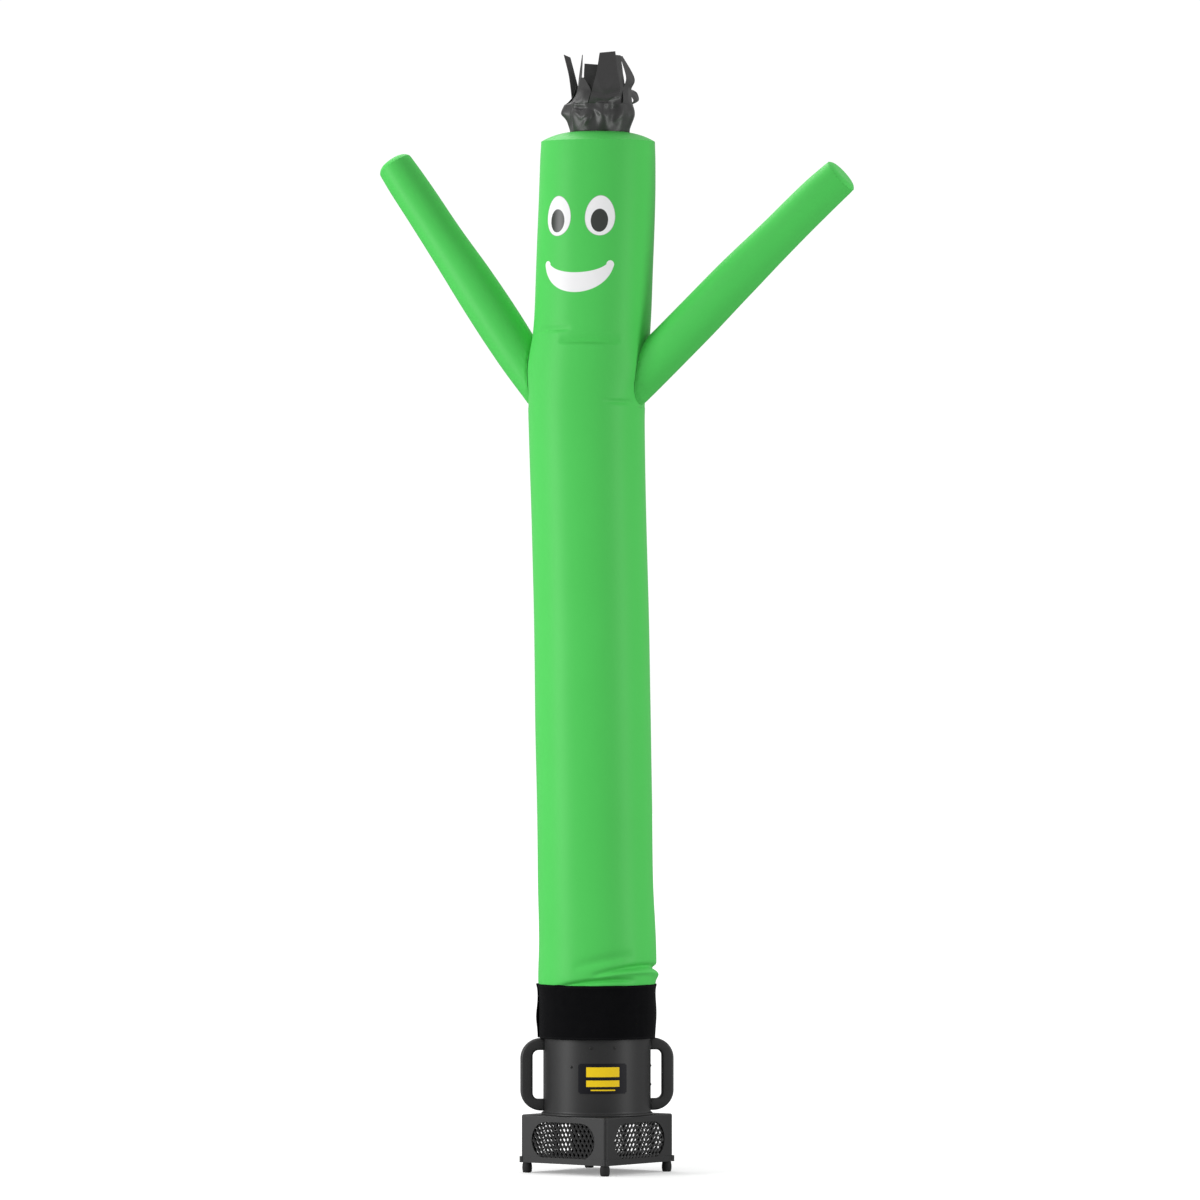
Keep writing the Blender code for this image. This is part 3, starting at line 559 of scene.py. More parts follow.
class Effects:
    """The effects that more than one finish uses, each built once."""

    def __init__(self) -> None:
        """Builds each group."""
        self.weave = self.make_weave()
        self.stitches = self.make_stitches()
        self.drift = self.make_drift()
        self.grain = self.make_grain()

    @staticmethod
    def make_weave() -> Tree:
        """Builds the ripstop weave, from a place on the cloth in metres.

        Returns:
            The group, with the height of its threads and a mask of its ribs.
        """
        sizes = {"Place": None, "Thread": 0.0011, "Rib Pitch": 0.0055, "Rib Width": 0.09}
        effect = Effect("ripstop_weave", sizes, ("Height", "Rib"))
        nodes, given = effect.nodes, effect.given
        threads, ribs = [], []
        for along in nodes.split(given["Place"])[:2]:
            turn = nodes.math("DIVIDE", along, given["Thread"])
            wave = nodes.math("SINE", nodes.math("MULTIPLY", turn, math.tau))
            threads.append(nodes.math("MULTIPLY_ADD", wave, 0.5, 0.5))
            cell = nodes.math("FRACT", nodes.math("DIVIDE", along, given["Rib Pitch"]))
            near = nodes.math("SUBTRACT", 0.5, nodes.apart(cell, 0.5))
            ribs.append(nodes.span(nodes.math("DIVIDE", near, given["Rib Width"]), (1.3, 0.7)))
        rib = nodes.math("MAXIMUM", *ribs)
        cross = nodes.math("MULTIPLY", *threads)
        nodes.put(effect.made["Height"], nodes.math("MULTIPLY_ADD", rib, 0.6, cross))
        nodes.put(effect.made["Rib"], rib)
        return effect.tree

    @staticmethod
    def make_stitches() -> Tree:
        """Builds two rows of stitches beside a seam or an edge.

        Returns:
            The group, with a mask of its stitches and the soft dip that they draw.
        """
        sizes = {"Seam": None, "First Row": 0.004, "Second Row": 0.010, "Length": 0.0032}
        effect = Effect("stitch_rows", sizes, ("Stitch", "Dip"))
        nodes, given = effect.nodes, effect.given
        place = nodes.split(given["Seam"])
        along = nodes.math("FRACT", nodes.math("DIVIDE", place[0], given["Length"]))
        aways = [nodes.apart(place[1], given[name]) for name in ("First Row", "Second Row")]
        row = nodes.math("MAXIMUM", *[nodes.math("LESS_THAN", away, 0.0004) for away in aways])
        dip = nodes.math("MAXIMUM", *[nodes.span(away, (0.0025, 0.0)) for away in aways])
        stitch = nodes.math("MULTIPLY", row, nodes.math("LESS_THAN", along, 0.72))
        nodes.put(effect.made["Stitch"], stitch)
        nodes.put(effect.made["Dip"], dip)
        return effect.tree

    @staticmethod
    def make_drift() -> Tree:
        """Builds a slow drift of tone, with fine specks of dust.

        Returns:
            The group, with the drifted colour and a value from 0 to 1.
        """
        greys = {"Colour": (0.5, 0.5, 0.5), "Other": (0.4, 0.4, 0.4)}
        sizes = {"Place": None, **greys, "Scale": 3.0, "Speck": 0.1}
        effect = Effect("tone_drift", sizes, ("Colour", "Value"))
        nodes, given = effect.nodes, effect.given
        slow = nodes.noise(given["Place"], given["Scale"], 3.0)
        fine = nodes.span(nodes.noise(given["Place"], 900.0), (0.6, 0.75))
        speck = nodes.math("MULTIPLY", fine, given["Speck"])
        value = nodes.math("MINIMUM", nodes.math("ADD", slow, speck), 1.0)
        nodes.put(effect.made["Colour"], nodes.mix(value, given["Colour"], given["Other"]))
        nodes.put(effect.made["Value"], value)
        return effect.tree

    @staticmethod
    def make_grain() -> Tree:
        """Builds the fine grain of paint, moulded plastic and felt.

        Returns:
            The group, with the height of its coarse and fine grain.
        """
        effect = Effect("fine_grain", {"Place": None, "Scale": 1200.0, "Coarse": 0.3}, ("Height",))
        nodes, given = effect.nodes, effect.given
        fine = nodes.noise(given["Place"], given["Scale"])
        coarse = nodes.noise(given["Place"], nodes.math("MULTIPLY", given["Scale"], 0.2))
        nodes.put(effect.made["Height"], nodes.math("MULTIPLY_ADD", coarse, given["Coarse"], fine))
        return effect.tree


class Finish:
    """A material under way: its tree, its shader and the effects."""

    def __init__(self, name: str, effects: Effects, roughness: float, gloss: float) -> None:
        """Starts a material.

        Args:
            name: The material's name.
            effects: The node groups.
            roughness: The shader's roughness, until something is linked to it.
            gloss: Its specular level.
        """
        self.material = bpy.data.materials.new(name)
        self.material.use_nodes = True
        self.nodes = Nodes(self.material.node_tree)
        self.shader = self.material.node_tree.nodes["Principled BSDF"].inputs
        self.effects = effects
        self.shader["Roughness"].default_value = roughness
        self.shader["Specular IOR Level"].default_value = gloss

    def sheet_place(self, layer: str = "cloth") -> Socket:
        """The place on the flat cloth, or along and away from its nearest seam, in metres."""
        return self.nodes.add("UVMap", uv_map=layer).outputs[0]

    def tone(self, place: Socket, colours: Sequence[Colour], scale: float, speck: float) -> Sequence[Socket]:
        """Adds a drift between two colours.

        Args:
            place: Where it is read.
            colours: The two linear colours.
            scale: The drift's scale.
            speck: How strong the specks are.

        Returns:
            The drifted colour and its value, by name.
        """
        first, other = (colour + (1,) for colour in colours)
        drift = self.effects.drift
        return self.nodes.group(drift, Place=place, Colour=first, Other=other, Scale=scale, Speck=speck)

    def rough(self, mask: Socket, more: float, roughness: float) -> None:
        """Makes the surface rougher by more where the mask is 1."""
        self.nodes.put(self.shader["Roughness"], self.nodes.math("MULTIPLY_ADD", mask, more, roughness))

    def paint(self, colour: object) -> Material:
        """Puts a colour on the shader and gives the material."""
        self.nodes.put(self.shader["Base Color"], colour)
        return self.material

    def relief(self, height: Socket, depth: float) -> None:
        """Raises the surface.

        Args:
            height: The height that it follows.
            depth: How far it rises at height 1, in metres.
        """
        bump = self.nodes.add("Bump")
        bump.inputs["Distance"].default_value = depth
        self.nodes.put(bump.inputs["Height"], height)
        self.nodes.put(self.shader["Normal"], bump.outputs[0])


@dataclass(frozen=True)
class NylonFinish:
    """Coated ripstop nylon, with stitches along its seams."""

    name: str
    colours: tuple[Colour, Colour]
    roughness: float
    weave: Weave
    bump: float
    stitched: bool = True
    gloss: float = 0.14

    def start(self, effects: Effects) -> tuple[Finish, Socket]:
        """Builds the cloth up to its colour.

        Args:
            effects: The node groups.

        Returns:
            The material under way and its colour.
        """
        finish = Finish(self.name, effects, self.roughness, self.gloss)
        nodes, place = finish.nodes, finish.sheet_place()
        weave = nodes.group(effects.weave, Place=place, Rib_Pitch=self.weave.value)
        colour = finish.tone(place, self.colours, 3.0, 0.0)["Colour"]
        height = weave["Height"]
        if self.stitched:
            sewn = nodes.group(effects.stitches, Seam=finish.sheet_place("seam"))
            colour = nodes.mix(nodes.math("MULTIPLY", sewn["Stitch"], 0.2), colour, self.colours[1])
            height = nodes.math("MULTIPLY_ADD", sewn["Dip"], -0.7, height)
        finish.rough(weave["Rib"], -0.03, self.roughness)
        finish.relief(height, self.bump)
        return finish, colour

    def material(self, effects: Effects) -> Material:
        """Builds the plain cloth."""
        finish, colour = self.start(effects)
        return finish.paint(colour)


@dataclass(frozen=True)
class FacePrint:
    """The eyes and the smile printed on the head, with a painted highlight on the left pupil, in metres on
    the flat cloth.
    """

    centre: float = -0.0027
    eye_height: float = 2.5475
    eye_apart: float = 0.0607
    eye_half: Pair = (0.0400, 0.0525)
    pupil_half: Pair = (0.0233, 0.0308)
    pupil_drop: float = 0.0130
    pupil_shift: float = -0.0015
    mouth_bottom: float = 2.3445
    outer: Pair = (0.1045, 0.0875)
    inner: Pair = (0.0909, 0.0370)
    inner_lift: float = 0.0523
    end_lift: float = 0.0734
    end_apart: float = 0.0926
    end_radius: float = 0.0105
    white: Colour = (0.90, 0.90, 0.91)
    pupil: Colour = (0.050, 0.054, 0.050)
    # Painted highlight: a lighter grey patch on the left pupil where light falls, its middle and its half
    # width across the cloth.
    pupil_highlight: Colour = (0.185, 0.190, 0.188)
    pupil_highlight_at: float = -0.0560
    pupil_highlight_wide: float = 0.0260
    outline: Colour = (0.30, 0.42, 0.31)
    outline_wide: float = 0.0012
    egg: float = 0.09
    soft: float = 0.012
    front_half: float = 0.2

    def oval(
        self, nodes: Nodes, place: Sequence[Socket], middle: Pair, half: Pair, egg: float = 0.0
    ) -> Socket:
        """A mask that is 1 inside an oval.

        Args:
            nodes: Where the nodes go.
            place: The parts of the place on the cloth.
            middle: The oval's middle, along and up.
            half: Its half width and half height.
            egg: How much narrower it is at its top.

        Returns:
            The mask.
        """
        across, up = (
            nodes.math("DIVIDE", nodes.math("SUBTRACT", place[axis], middle[axis]), half[axis])
            for axis in range(2)
        )
        across = nodes.math("DIVIDE", across, nodes.math("MULTIPLY_ADD", up, -egg, 1.0))
        squares = [nodes.math("MULTIPLY", item, item) for item in (across, up)]
        share = nodes.math("SQRT", nodes.math("ADD", *squares))
        return nodes.span(share, (1 + self.soft, 1 - self.soft))

    def print_on(self, finish: Finish, colour: Socket) -> Material:
        """Prints the face over the cloth's colour, with a painted highlight on the left pupil.

        Args:
            finish: The head's material under way.
            colour: The cloth's colour.

        Returns:
            The material.
        """
        nodes = finish.nodes
        place = nodes.split(finish.sheet_place())
        eyes, pupils, rims = [], [], []
        wider = tuple(half + self.outline_wide for half in self.eye_half)
        for side in (-1, 1):
            middle = (self.centre + side * self.eye_apart, self.eye_height)
            eyes.append(self.oval(nodes, place, middle, self.eye_half, self.egg))
            rims.append(self.oval(nodes, place, middle, wider, self.egg))
            low = (middle[0] + self.pupil_shift, middle[1] - self.pupil_drop)
            pupils.append(self.oval(nodes, place, low, self.pupil_half))
        bottom = self.mouth_bottom
        outer = self.oval(nodes, place, (self.centre, bottom + self.outer[1]), self.outer)
        lift = bottom + self.inner_lift + self.inner[1]
        inner = self.oval(nodes, place, (self.centre, lift), self.inner)
        below = nodes.math("LESS_THAN", place[1], bottom + self.end_lift)
        smile = nodes.math("MULTIPLY", outer, nodes.math("SUBTRACT", 1.0, inner))
        smile = nodes.math("MULTIPLY", smile, below)
        for side in (-1, 1):
            end = (self.centre + side * self.end_apart, bottom + self.end_lift)
            smile = nodes.math("MAXIMUM", smile, self.oval(nodes, place, end, (self.end_radius,) * 2))
        front = nodes.math("LESS_THAN", nodes.math("ABSOLUTE", place[0]), self.front_half)
        white = nodes.math("MAXIMUM", nodes.math("MAXIMUM", *eyes), smile)
        colour = nodes.mix(nodes.math("MAXIMUM", *rims), colour, self.outline)
        colour = nodes.mix(nodes.math("MULTIPLY", white, front), colour, self.white)
        # Paints a lighter grey highlight into the left pupil, fading out to the pupil's own dark grey.
        away = nodes.apart(place[0], self.pupil_highlight_at)
        black = nodes.mix(nodes.span(away, (0.0, self.pupil_highlight_wide)), self.pupil_highlight, self.pupil)
        return finish.paint(nodes.mix(nodes.math("MAXIMUM", *pupils), colour, black))


@dataclass(frozen=True)
class HardFinish:
    """Paint, plastic, rubber or metal, with a fine grain and a drift of tone."""

    name: str
    colours: tuple[Colour, Colour]
    roughness: float
    rougher: float = 0.08
    grain: float = 1200.0
    bump: float = 0.00004
    speck: float = 0.12
    gloss: float = 0.36

    def start(self, effects: Effects) -> tuple[Finish, Socket]:
        """Builds the finish up to its colour.

        Args:
            effects: The node groups.

        Returns:
            The material under way and its colour.
        """
        finish = Finish(self.name, effects, self.roughness, self.gloss)
        place = finish.nodes.add("TexCoord").outputs["Object"]
        tone = finish.tone(place, self.colours, 9.0, self.speck)
        finish.rough(tone["Value"], self.rougher, self.roughness)
        grain = finish.nodes.group(effects.grain, Place=place, Scale=self.grain)
        finish.relief(grain["Height"], self.bump)
        return finish, tone["Colour"]

    def material(self, effects: Effects) -> Material:
        """Builds the plain finish."""
        finish, colour = self.start(effects)
        return finish.paint(colour)


@dataclass(frozen=True)
class FeltFinish:
    """The collar's felted strap, stitched along its edges."""

    name: str = "felt_strap"
    colours: tuple[Colour, Colour] = ((0.0022, 0.0022, 0.0028), (0.0042, 0.0042, 0.0048))
    thread: Colour = (0.009, 0.009, 0.010)

    def material(self, effects: Effects) -> Material:
        """Builds the felt.

        Args:
            effects: The node groups.

        Returns:
            The material.
        """
        finish = Finish(self.name, effects, 0.92, 0.06)
        nodes, place = finish.nodes, finish.sheet_place()
        tone = finish.tone(place, self.colours, 40.0, 0.5)
        sewn = nodes.group(effects.stitches, Seam=finish.sheet_place("seam"), Second_Row=0.0055)
        grain = nodes.group(effects.grain, Place=place, Scale=1600.0, Coarse=0.8)
        finish.shader["Sheen Weight"].default_value = 0.02
        finish.shader["Sheen Roughness"].default_value = 0.4
        finish.relief(nodes.math("MULTIPLY_ADD", sewn["Dip"], -1.5, grain["Height"]), 0.0003)
        return finish.paint(nodes.mix(sewn["Stitch"], tone["Colour"], self.thread))


@dataclass(frozen=True)
class LabelFinish:
    """A dark printed film with plain yellow bars: middle height, half height and half length."""

    film: HardFinish
    yellow: Colour = (0.90, 0.62, 0.012)
    bars: tuple[Colour, ...] = (
        (0.0175, 0.0130, 0.0450),
        (-0.0130, 0.0085, 0.0450),
        (-0.0305, 0.0018, 0.0330),
    )

    def material(self, effects: Effects) -> Material:
        """Builds the film and its bars.

        Args:
            effects: The node groups.

        Returns:
            The material.
        """
        finish, colour = self.film.start(effects)
        nodes = finish.nodes
        place = nodes.split(finish.sheet_place())
        for height, half_height, half_length in self.bars:
            tall = nodes.math("LESS_THAN", nodes.apart(place[1], height), half_height)
            within = nodes.math("LESS_THAN", nodes.math("ABSOLUTE", place[0]), half_length)
            colour = nodes.mix(nodes.math("MULTIPLY", tall, within), colour, self.yellow)
        return finish.paint(colour)


class Wardrobe:
    """Every material, built once."""

    def __init__(self) -> None:
        """Builds the effects and then the materials."""
        effects = Effects()
        greens = ((0.088, 0.605, 0.111), (0.079, 0.565, 0.099))
        green = NylonFinish("green_nylon", greens, 0.46, Weave.RIPSTOP, 0.000011)
        self.head = FacePrint().print_on(*replace(green, name="printed_nylon").start(effects))
        self.green = green.material(effects)
        blacks = ((0.034, 0.034, 0.035), (0.046, 0.044, 0.044))
        hair = NylonFinish("black_nylon", blacks, 0.44, Weave.FINE, 0.000012, False, 0.46)
        self.hair = hair.material(effects)
        self.felt = FeltFinish().material(effects)
        self.paint = HardFinish(
            "satin_paint", ((0.0165, 0.0165, 0.017), (0.021, 0.021, 0.0215)), 0.43
        ).material(effects)
        moulded = ((0.016, 0.016, 0.0165), (0.021, 0.021, 0.0215))
        plastic = HardFinish("moulded_plastic", moulded, 0.50, 0.06, 900.0, 0.00005, gloss=0.50)
        self.plastic = plastic.material(effects)
        self.rubber = HardFinish(
            "foot_rubber", ((0.014, 0.014, 0.0145), (0.021, 0.021, 0.021)), 0.75, 0.1, 700.0, 0.0001
        ).material(effects)
        self.steel = HardFinish(
            "coated_steel", ((0.014, 0.014, 0.015), (0.022, 0.022, 0.022)), 0.42, 0.1
        ).material(effects)
        self.rivet = HardFinish(
            "rivet_metal", ((0.010, 0.010, 0.010), (0.016, 0.016, 0.016)), 0.40, 0.1
        ).material(effects)
        film = HardFinish("label_film", ((0.0045, 0.0045, 0.0075), (0.006, 0.006, 0.009)), 0.45, gloss=0.18)
        self.label = LabelFinish(film).material(effects)


class Maker:
    """Turns grids, profiles and outlines into pieces that ride on the model."""

    def __init__(self, frames: Frames) -> None:
        """Keeps the frames that pieces are built in."""
        self.frames = frames

    @staticmethod
    def lay(
        bm: Mesh,
        columns: int,
        rows: int,
        place: Place,
        flat: Flat,
        seam: Flat | None = None,
        wrap: bool = False,
    ) -> None:
        """Lays a grid of faces, with its place on the flat cloth.

        Args:
            bm: The mesh that it goes into.
            columns: Faces across.
            rows: Faces up.
            place: Gives the point at a column and a row.
            flat: Gives the place on the flat cloth, in metres.
            seam: Gives the places along and away from the nearest seam.
            wrap: Whether the last column meets the first.
        """
        cloth = bm.loops.layers.uv.get("cloth") or bm.loops.layers.uv.new("cloth")
        sewn = bm.loops.layers.uv.get("seam") or bm.loops.layers.uv.new("seam")
        across = columns if wrap else columns + 1
        points = [[bm.verts.new(place(c, r)) for c in range(across)] for r in range(rows + 1)]
        for row in range(rows):
            for column in range(columns):
                corners = ((column, row), (column + 1, row), (column + 1, row + 1), (column, row + 1))
                face = bm.faces.new([points[r][c % across] for c, r in corners])
                face.smooth = True
                for loop, (c, r) in zip(face.loops, corners):
                    loop[cloth].uv = flat(c, r)
                    loop[sewn].uv = seam(c, r) if seam else (0.0, 1.0)

    @staticmethod
    def finish(
        name: str,
        bm: Mesh,
        matrix: Matrix,
        material: Material,
        nodes: Sequence[str] = (),
        slot: str = "",
        thickness: float = 0.0,
        sharp: float = 0.0,
        offset: float = -1.0,
    ) -> Piece:
        """slot: Not used. The record's material slot.
            thickness: Of a sheet.
            sharp: Degrees between faces above which an edge stays sharp.
            offset: Where the thickness lies: -1 is inwards, 0 on both sides.

        Returns:
            The piece, its open edges sharp.
        """
        bm.transform(matrix)
        for edge in bm.edges:
            edge.smooth = not edge.is_boundary
        mesh = bpy.data.meshes.new(name)
        bm.to_mesh(mesh)
        bm.free()
        mesh.shade_smooth()
        if sharp:
            mesh.set_sharp_from_angle(angle=math.radians(sharp))
        mesh.materials.append(material)
        piece = bpy.data.objects.new(name, mesh)
        bpy.context.scene.collection.objects.link(piece)
        if thickness:
            solid = piece.modifiers.new("Thickness", "SOLIDIFY")
            solid.thickness = thickness
            solid.offset = offset
        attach(piece, BODY)
        if nodes:
            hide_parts(*nodes)
        LOG.info("%s: %d faces", name, len(mesh.polygons))
        return piece

    def turned(self, profile: Sequence[Pair], sides: int, closed: bool = False) -> Mesh:
        """A turned solid about Z.

        Args:
            profile: Radius and height of each point, down its outer side.
            sides: Faces round it.
            closed: Whether the last point joins the first.

        Returns:
            Its mesh.
        """
        bm = bmesh.new()
        points = list(profile) + (list(profile[:1]) if closed else [])

        def place(column: int, row: int) -> Vector:
            """A point of the profile, turned."""
            radius, height = points[row]
            return around(radius, math.tau * column / sides, height)

        self.lay(bm, sides, len(points) - 1, place, lambda c, r: (c / sides, r / len(points)), wrap=True)
        return self.weld(bm)

    @staticmethod
    def weld(bm: Mesh) -> Mesh:
        """Joins a mesh's doubled points and turns its faces outwards.

        Args:
            bm: The mesh.

        Returns:
            The same mesh.
        """
        bmesh.ops.remove_doubles(bm, verts=bm.verts, dist=WELD)
        bmesh.ops.recalc_face_normals(bm, faces=bm.faces)
        return bm

    def outline(self, points: Sequence[Pair], depth: float, edge: float, steps: int) -> Mesh:
        """A flat outline with thickness and rounded edges, standing in the XZ plane.

        Args:
            points: The outline.
            depth: Its thickness.
            edge: The radius of its edges.
            steps: Faces round each edge.

        Returns:
            Its mesh.
        """
        curve = bpy.data.curves.new("outline", "CURVE")
        curve.dimensions = "2D"
        curve.fill_mode = "BOTH"
        curve.extrude = depth / 2 - edge
        curve.bevel_depth = edge
        curve.bevel_resolution = steps
        curve.offset = -edge
        spline = curve.splines.new("POLY")
        spline.points.add(len(points) - 1)
        for point, (x, y) in zip(spline.points, points):
            point.co = (x, y, 0, 1)
        spline.use_cyclic_u = True
        holder = bpy.data.objects.new("outline", curve)
        bpy.context.scene.collection.objects.link(holder)
        graph = bpy.context.evaluated_depsgraph_get()
        mesh = bpy.data.meshes.new_from_object(holder.evaluated_get(graph))
        bpy.data.objects.remove(holder)
        bm = bmesh.new()
        bm.from_mesh(mesh)
        self.weld(bm)
        bmesh.ops.transform(bm, matrix=Matrix.Rotation(math.pi / 2, 4, "X"), verts=bm.verts)
        return bm


@dataclass
class Assembly:
    """What each sub-assembly is built with: the maker and the materials."""

    maker: Maker
    wear: Wardrobe


@dataclass
class ArmSleeve(Assembly):
    """One raised arm: its sleeve and the disc that closes its end."""

    name: str
    side: int
    rings: tuple[ArmRing, ...]
    rise: float
    power: float
    columns: int = 96
    rows: int = 110
    root_step: float = 0.002
    cloth_radius: float = 0.056
    flat_radius: float = 0.0562
    seam_at: float = 0.16  # share of its length near the seam
    hole_depth: float = 0.006

    def middle(self, reach: float) -> Vector:
        """The arm's middle at a reach, in the figure's frame."""
        height = smooth(self.rings, "height", reach, "reach")
        return Vector((body_ring(SWELL_MIDDLE)[0] + self.side * reach, 0, height))

    def frame_at(self, along: float) -> tuple[Vector, float, Vector, Vector]:
        """The arm's frame at a share of its length.

        Args:
            along: From 0, inside the chest, to 1 at its end.

        Returns:
            Its middle, radius, direction and up side.
        """
        first, last = self.rings[0].reach, self.rings[-1].reach
        reach = first + along * (last - first)
        low, high = max(reach - 0.002, first), min(reach + 0.002, last)
        direction = (self.middle(high) - self.middle(low)).normalized()
        radius = smooth(self.rings, "radius", reach, "reach")
        return self.middle(reach), radius, direction, direction.cross(Vector((0, 1, 0)))

    def point(self, along: float, turn: float, grow: float = 0.0) -> Vector:
        """A point of the sleeve's outer side.

        Args:
            along: Share of the arm's length.
            turn: Degrees round it.
            grow: How far outside the cloth.

        Returns:
            The point in the figure's frame.
        """
        centre, radius, _, up = self.frame_at(along)
        angle = math.radians(turn)
        return centre + (radius + grow) * (up * math.cos(angle) + Vector((0, math.sin(angle), 0)))

    def root(self, turn: float) -> float:
        """Where the sleeve meets the chest.

        Args:
            turn: Degrees round the arm.

        Returns:
            The share of the arm's length.
        """
        low, high = 0.0, 0.5
        for _ in range(24):
            middle = (low + high) / 2
            point = self.point(middle, turn)
            sway = body_ring(round(point.z, 5))[0]
            reach = math.hypot(point.x - sway, point.y)
            at = math.degrees(math.atan2(point.x - sway, -point.y))
            if reach < body_reach(at, point.z):
                low = middle
            else:
                high = middle
        return low

    def away(self, point: Vector) -> float:
        """How far a point lies outside the sleeve near its root.

        Args:
            point: A point in the figure's frame.

        Returns:
            The distance, or 1 if it lies towards the other arm.
        """
        centre, radius, direction, _ = self.frame_at(self.seam_at)
        offset = point - centre
        if offset.x * self.side < -0.1:
            return 1.0
        return (offset - offset.dot(direction) * direction).length - radius

    def seam_dip(self, point: Vector) -> float:
        """How far the chest is drawn in beside the sleeve's seam."""
        away = self.away(point)
        return -0.0022 * bell(away, 0.005) - 0.0015 * bell(away, 0.018)

    def covers(self, face: bmesh.types.BMFace) -> bool:
        """Whether a face of the chest lies in the hole under the sleeve."""
        return all(self.away(vertex.co) < -self.hole_depth for vertex in face.verts)

    def build(self) -> None:
        """Builds the sleeve and its end."""
        turns = [-self.side * 360 * column / self.columns for column in range(self.columns)]
        roots = [self.root(turn) for turn in turns]
        length = (self.middle(self.rings[-1].reach) - self.middle(self.rings[0].reach)).length

        def along(column: int, row: int) -> float:
            """The share of the length, from the seam to the end."""
            first = roots[column % self.columns] - self.root_step
            return first + (1 - first) * (row / self.rows) ** 1.25

        def place(column: int, row: int) -> Vector:
            """A point of the sleeve, drawn in at its seam."""
            at, turn = along(column, row), turns[column]
            from_seam, from_end = (at - roots[column]) * length, (1 - at) * length
            pinch = -0.0016 * bell(from_seam, 0.005) - 0.0006 * bell(from_end, 0.004)
            pucker = 0.0005 * math.sin(math.radians(23 * turn)) * bell(from_seam, 0.020)
            slow = 0.0004 * noise.noise(self.point(at, turn) * 9.0)
            return self.point(at, turn, pinch + pucker + slow)

        def flat(column: int, row: int) -> Pair:
            """Its place on the flat cloth."""
            return math.tau * self.cloth_radius * column / self.columns, along(column, row) * length

        def seam(column: int, row: int) -> Pair:
            """Its place beside the nearer seam."""
            at = along(column, row)
            return flat(column, row)[0], min(at - roots[column % self.columns], 1 - at) * length

        bm = bmesh.new()
        self.maker.lay(bm, self.columns, self.rows, place, flat, seam, wrap=True)
        figure, cloth = self.maker.frames.figure, self.wear.green
        sleeve = self.maker.finish(
            self.name + "_sleeve", bm, figure, cloth, [self.name], "green_cloth", THIN
        )
        centre, radius, direction, _ = self.frame_at(1.0)
        turn = direction.to_track_quat("Z", "Y").to_matrix().to_4x4()
        matrix = figure @ Matrix.Translation(centre + direction * GAP) @ turn
        names = self.name + "_disc", self.name + "_end"
        EndDisc(self.maker, self.wear, *names, radius, self.rise, self.power, matrix).build()


@dataclass
class BodyTube(Assembly):
    """One tube of the figure's body, from one height to another."""

    name: str
    node: str
    bottom: float
    top: float
    steps: tuple[Pair, ...]
    printed: bool = False
    arms: tuple[ArmSleeve, ...] = ()
    columns: int = 144
    wobble: float = 0.0005
    round_radius: float = 0.156

    def heights(self) -> list[float]:
        """The heights of its rows, finer where it is folded.

        Returns:
            The heights from bottom to top.
        """
        made = [self.bottom]
        for until, step in self.steps:
            count = max(1, round((until - made[-1]) / step))
            first = made[-1]
            made += [first + (until - first) * n / count for n in range(1, count + 1)]
        return made

    def relief(self, point: Vector, turn: float, height: float) -> float:
        """The cloth's own small unevenness.

        Args:
            point: The point of the tube.
            turn: Degrees from the figure's front.
            height: Height above the floor.

        Returns:
            The relief, in metres out.
        """
        slow = noise.noise(point * 5.0) * self.wobble
        gather = 0.0007 * math.sin(math.radians(37 * turn)) * bell(height - 0.511, 0.010)
        pulled = 0.0004 * math.sin(math.radians(52 * turn)) * bell(height - CROWN_BOTTOM, 0.014)
        return slow + gather * (0.5 + 0.5 * math.sin(math.radians(5 * turn))) + pulled

    def build(self) -> None:
        heights = self.heights()

        def turn_at(column: int) -> float:
            """Degrees from the front, starting at the back."""
            return 360 * column / self.columns - 180

        def place(column: int, row: int) -> Vector:
            """A point of the tube."""
            turn, height = turn_at(column), heights[row]
            point = body_point(turn, height)
            relief = self.relief(point, turn, height)
            for arm in self.arms:
                relief += arm.seam_dip(point)
            angle = math.radians(turn)
            return point + relief * Vector((math.sin(angle), -math.cos(angle), 0))

        def flat(column: int, row: int) -> Pair:
            """Its place on the flat cloth."""
            return math.radians(turn_at(column)) * self.round_radius, heights[row]

        def seam(column: int, row: int) -> Pair:
            """Its place beside the nearer end's seam."""
            return flat(column, row)[0], min(heights[row] - self.bottom, self.top - heights[row])

        bm = bmesh.new()
        self.maker.lay(bm, self.columns, len(heights) - 1, place, flat, seam, wrap=True)
        if self.arms:
            inside = [face for face in bm.faces if any(arm.covers(face) for arm in self.arms)]
            bmesh.ops.delete(bm, geom=inside, context="FACES")
        cloth = self.wear.head if self.printed else self.wear.green
        piece = self.maker.finish(
            self.name, bm, self.maker.frames.figure, cloth, [self.node], "green_cloth", THIN
        )
        width = math.tau * body_ring((self.bottom + self.top) / 2)[1]


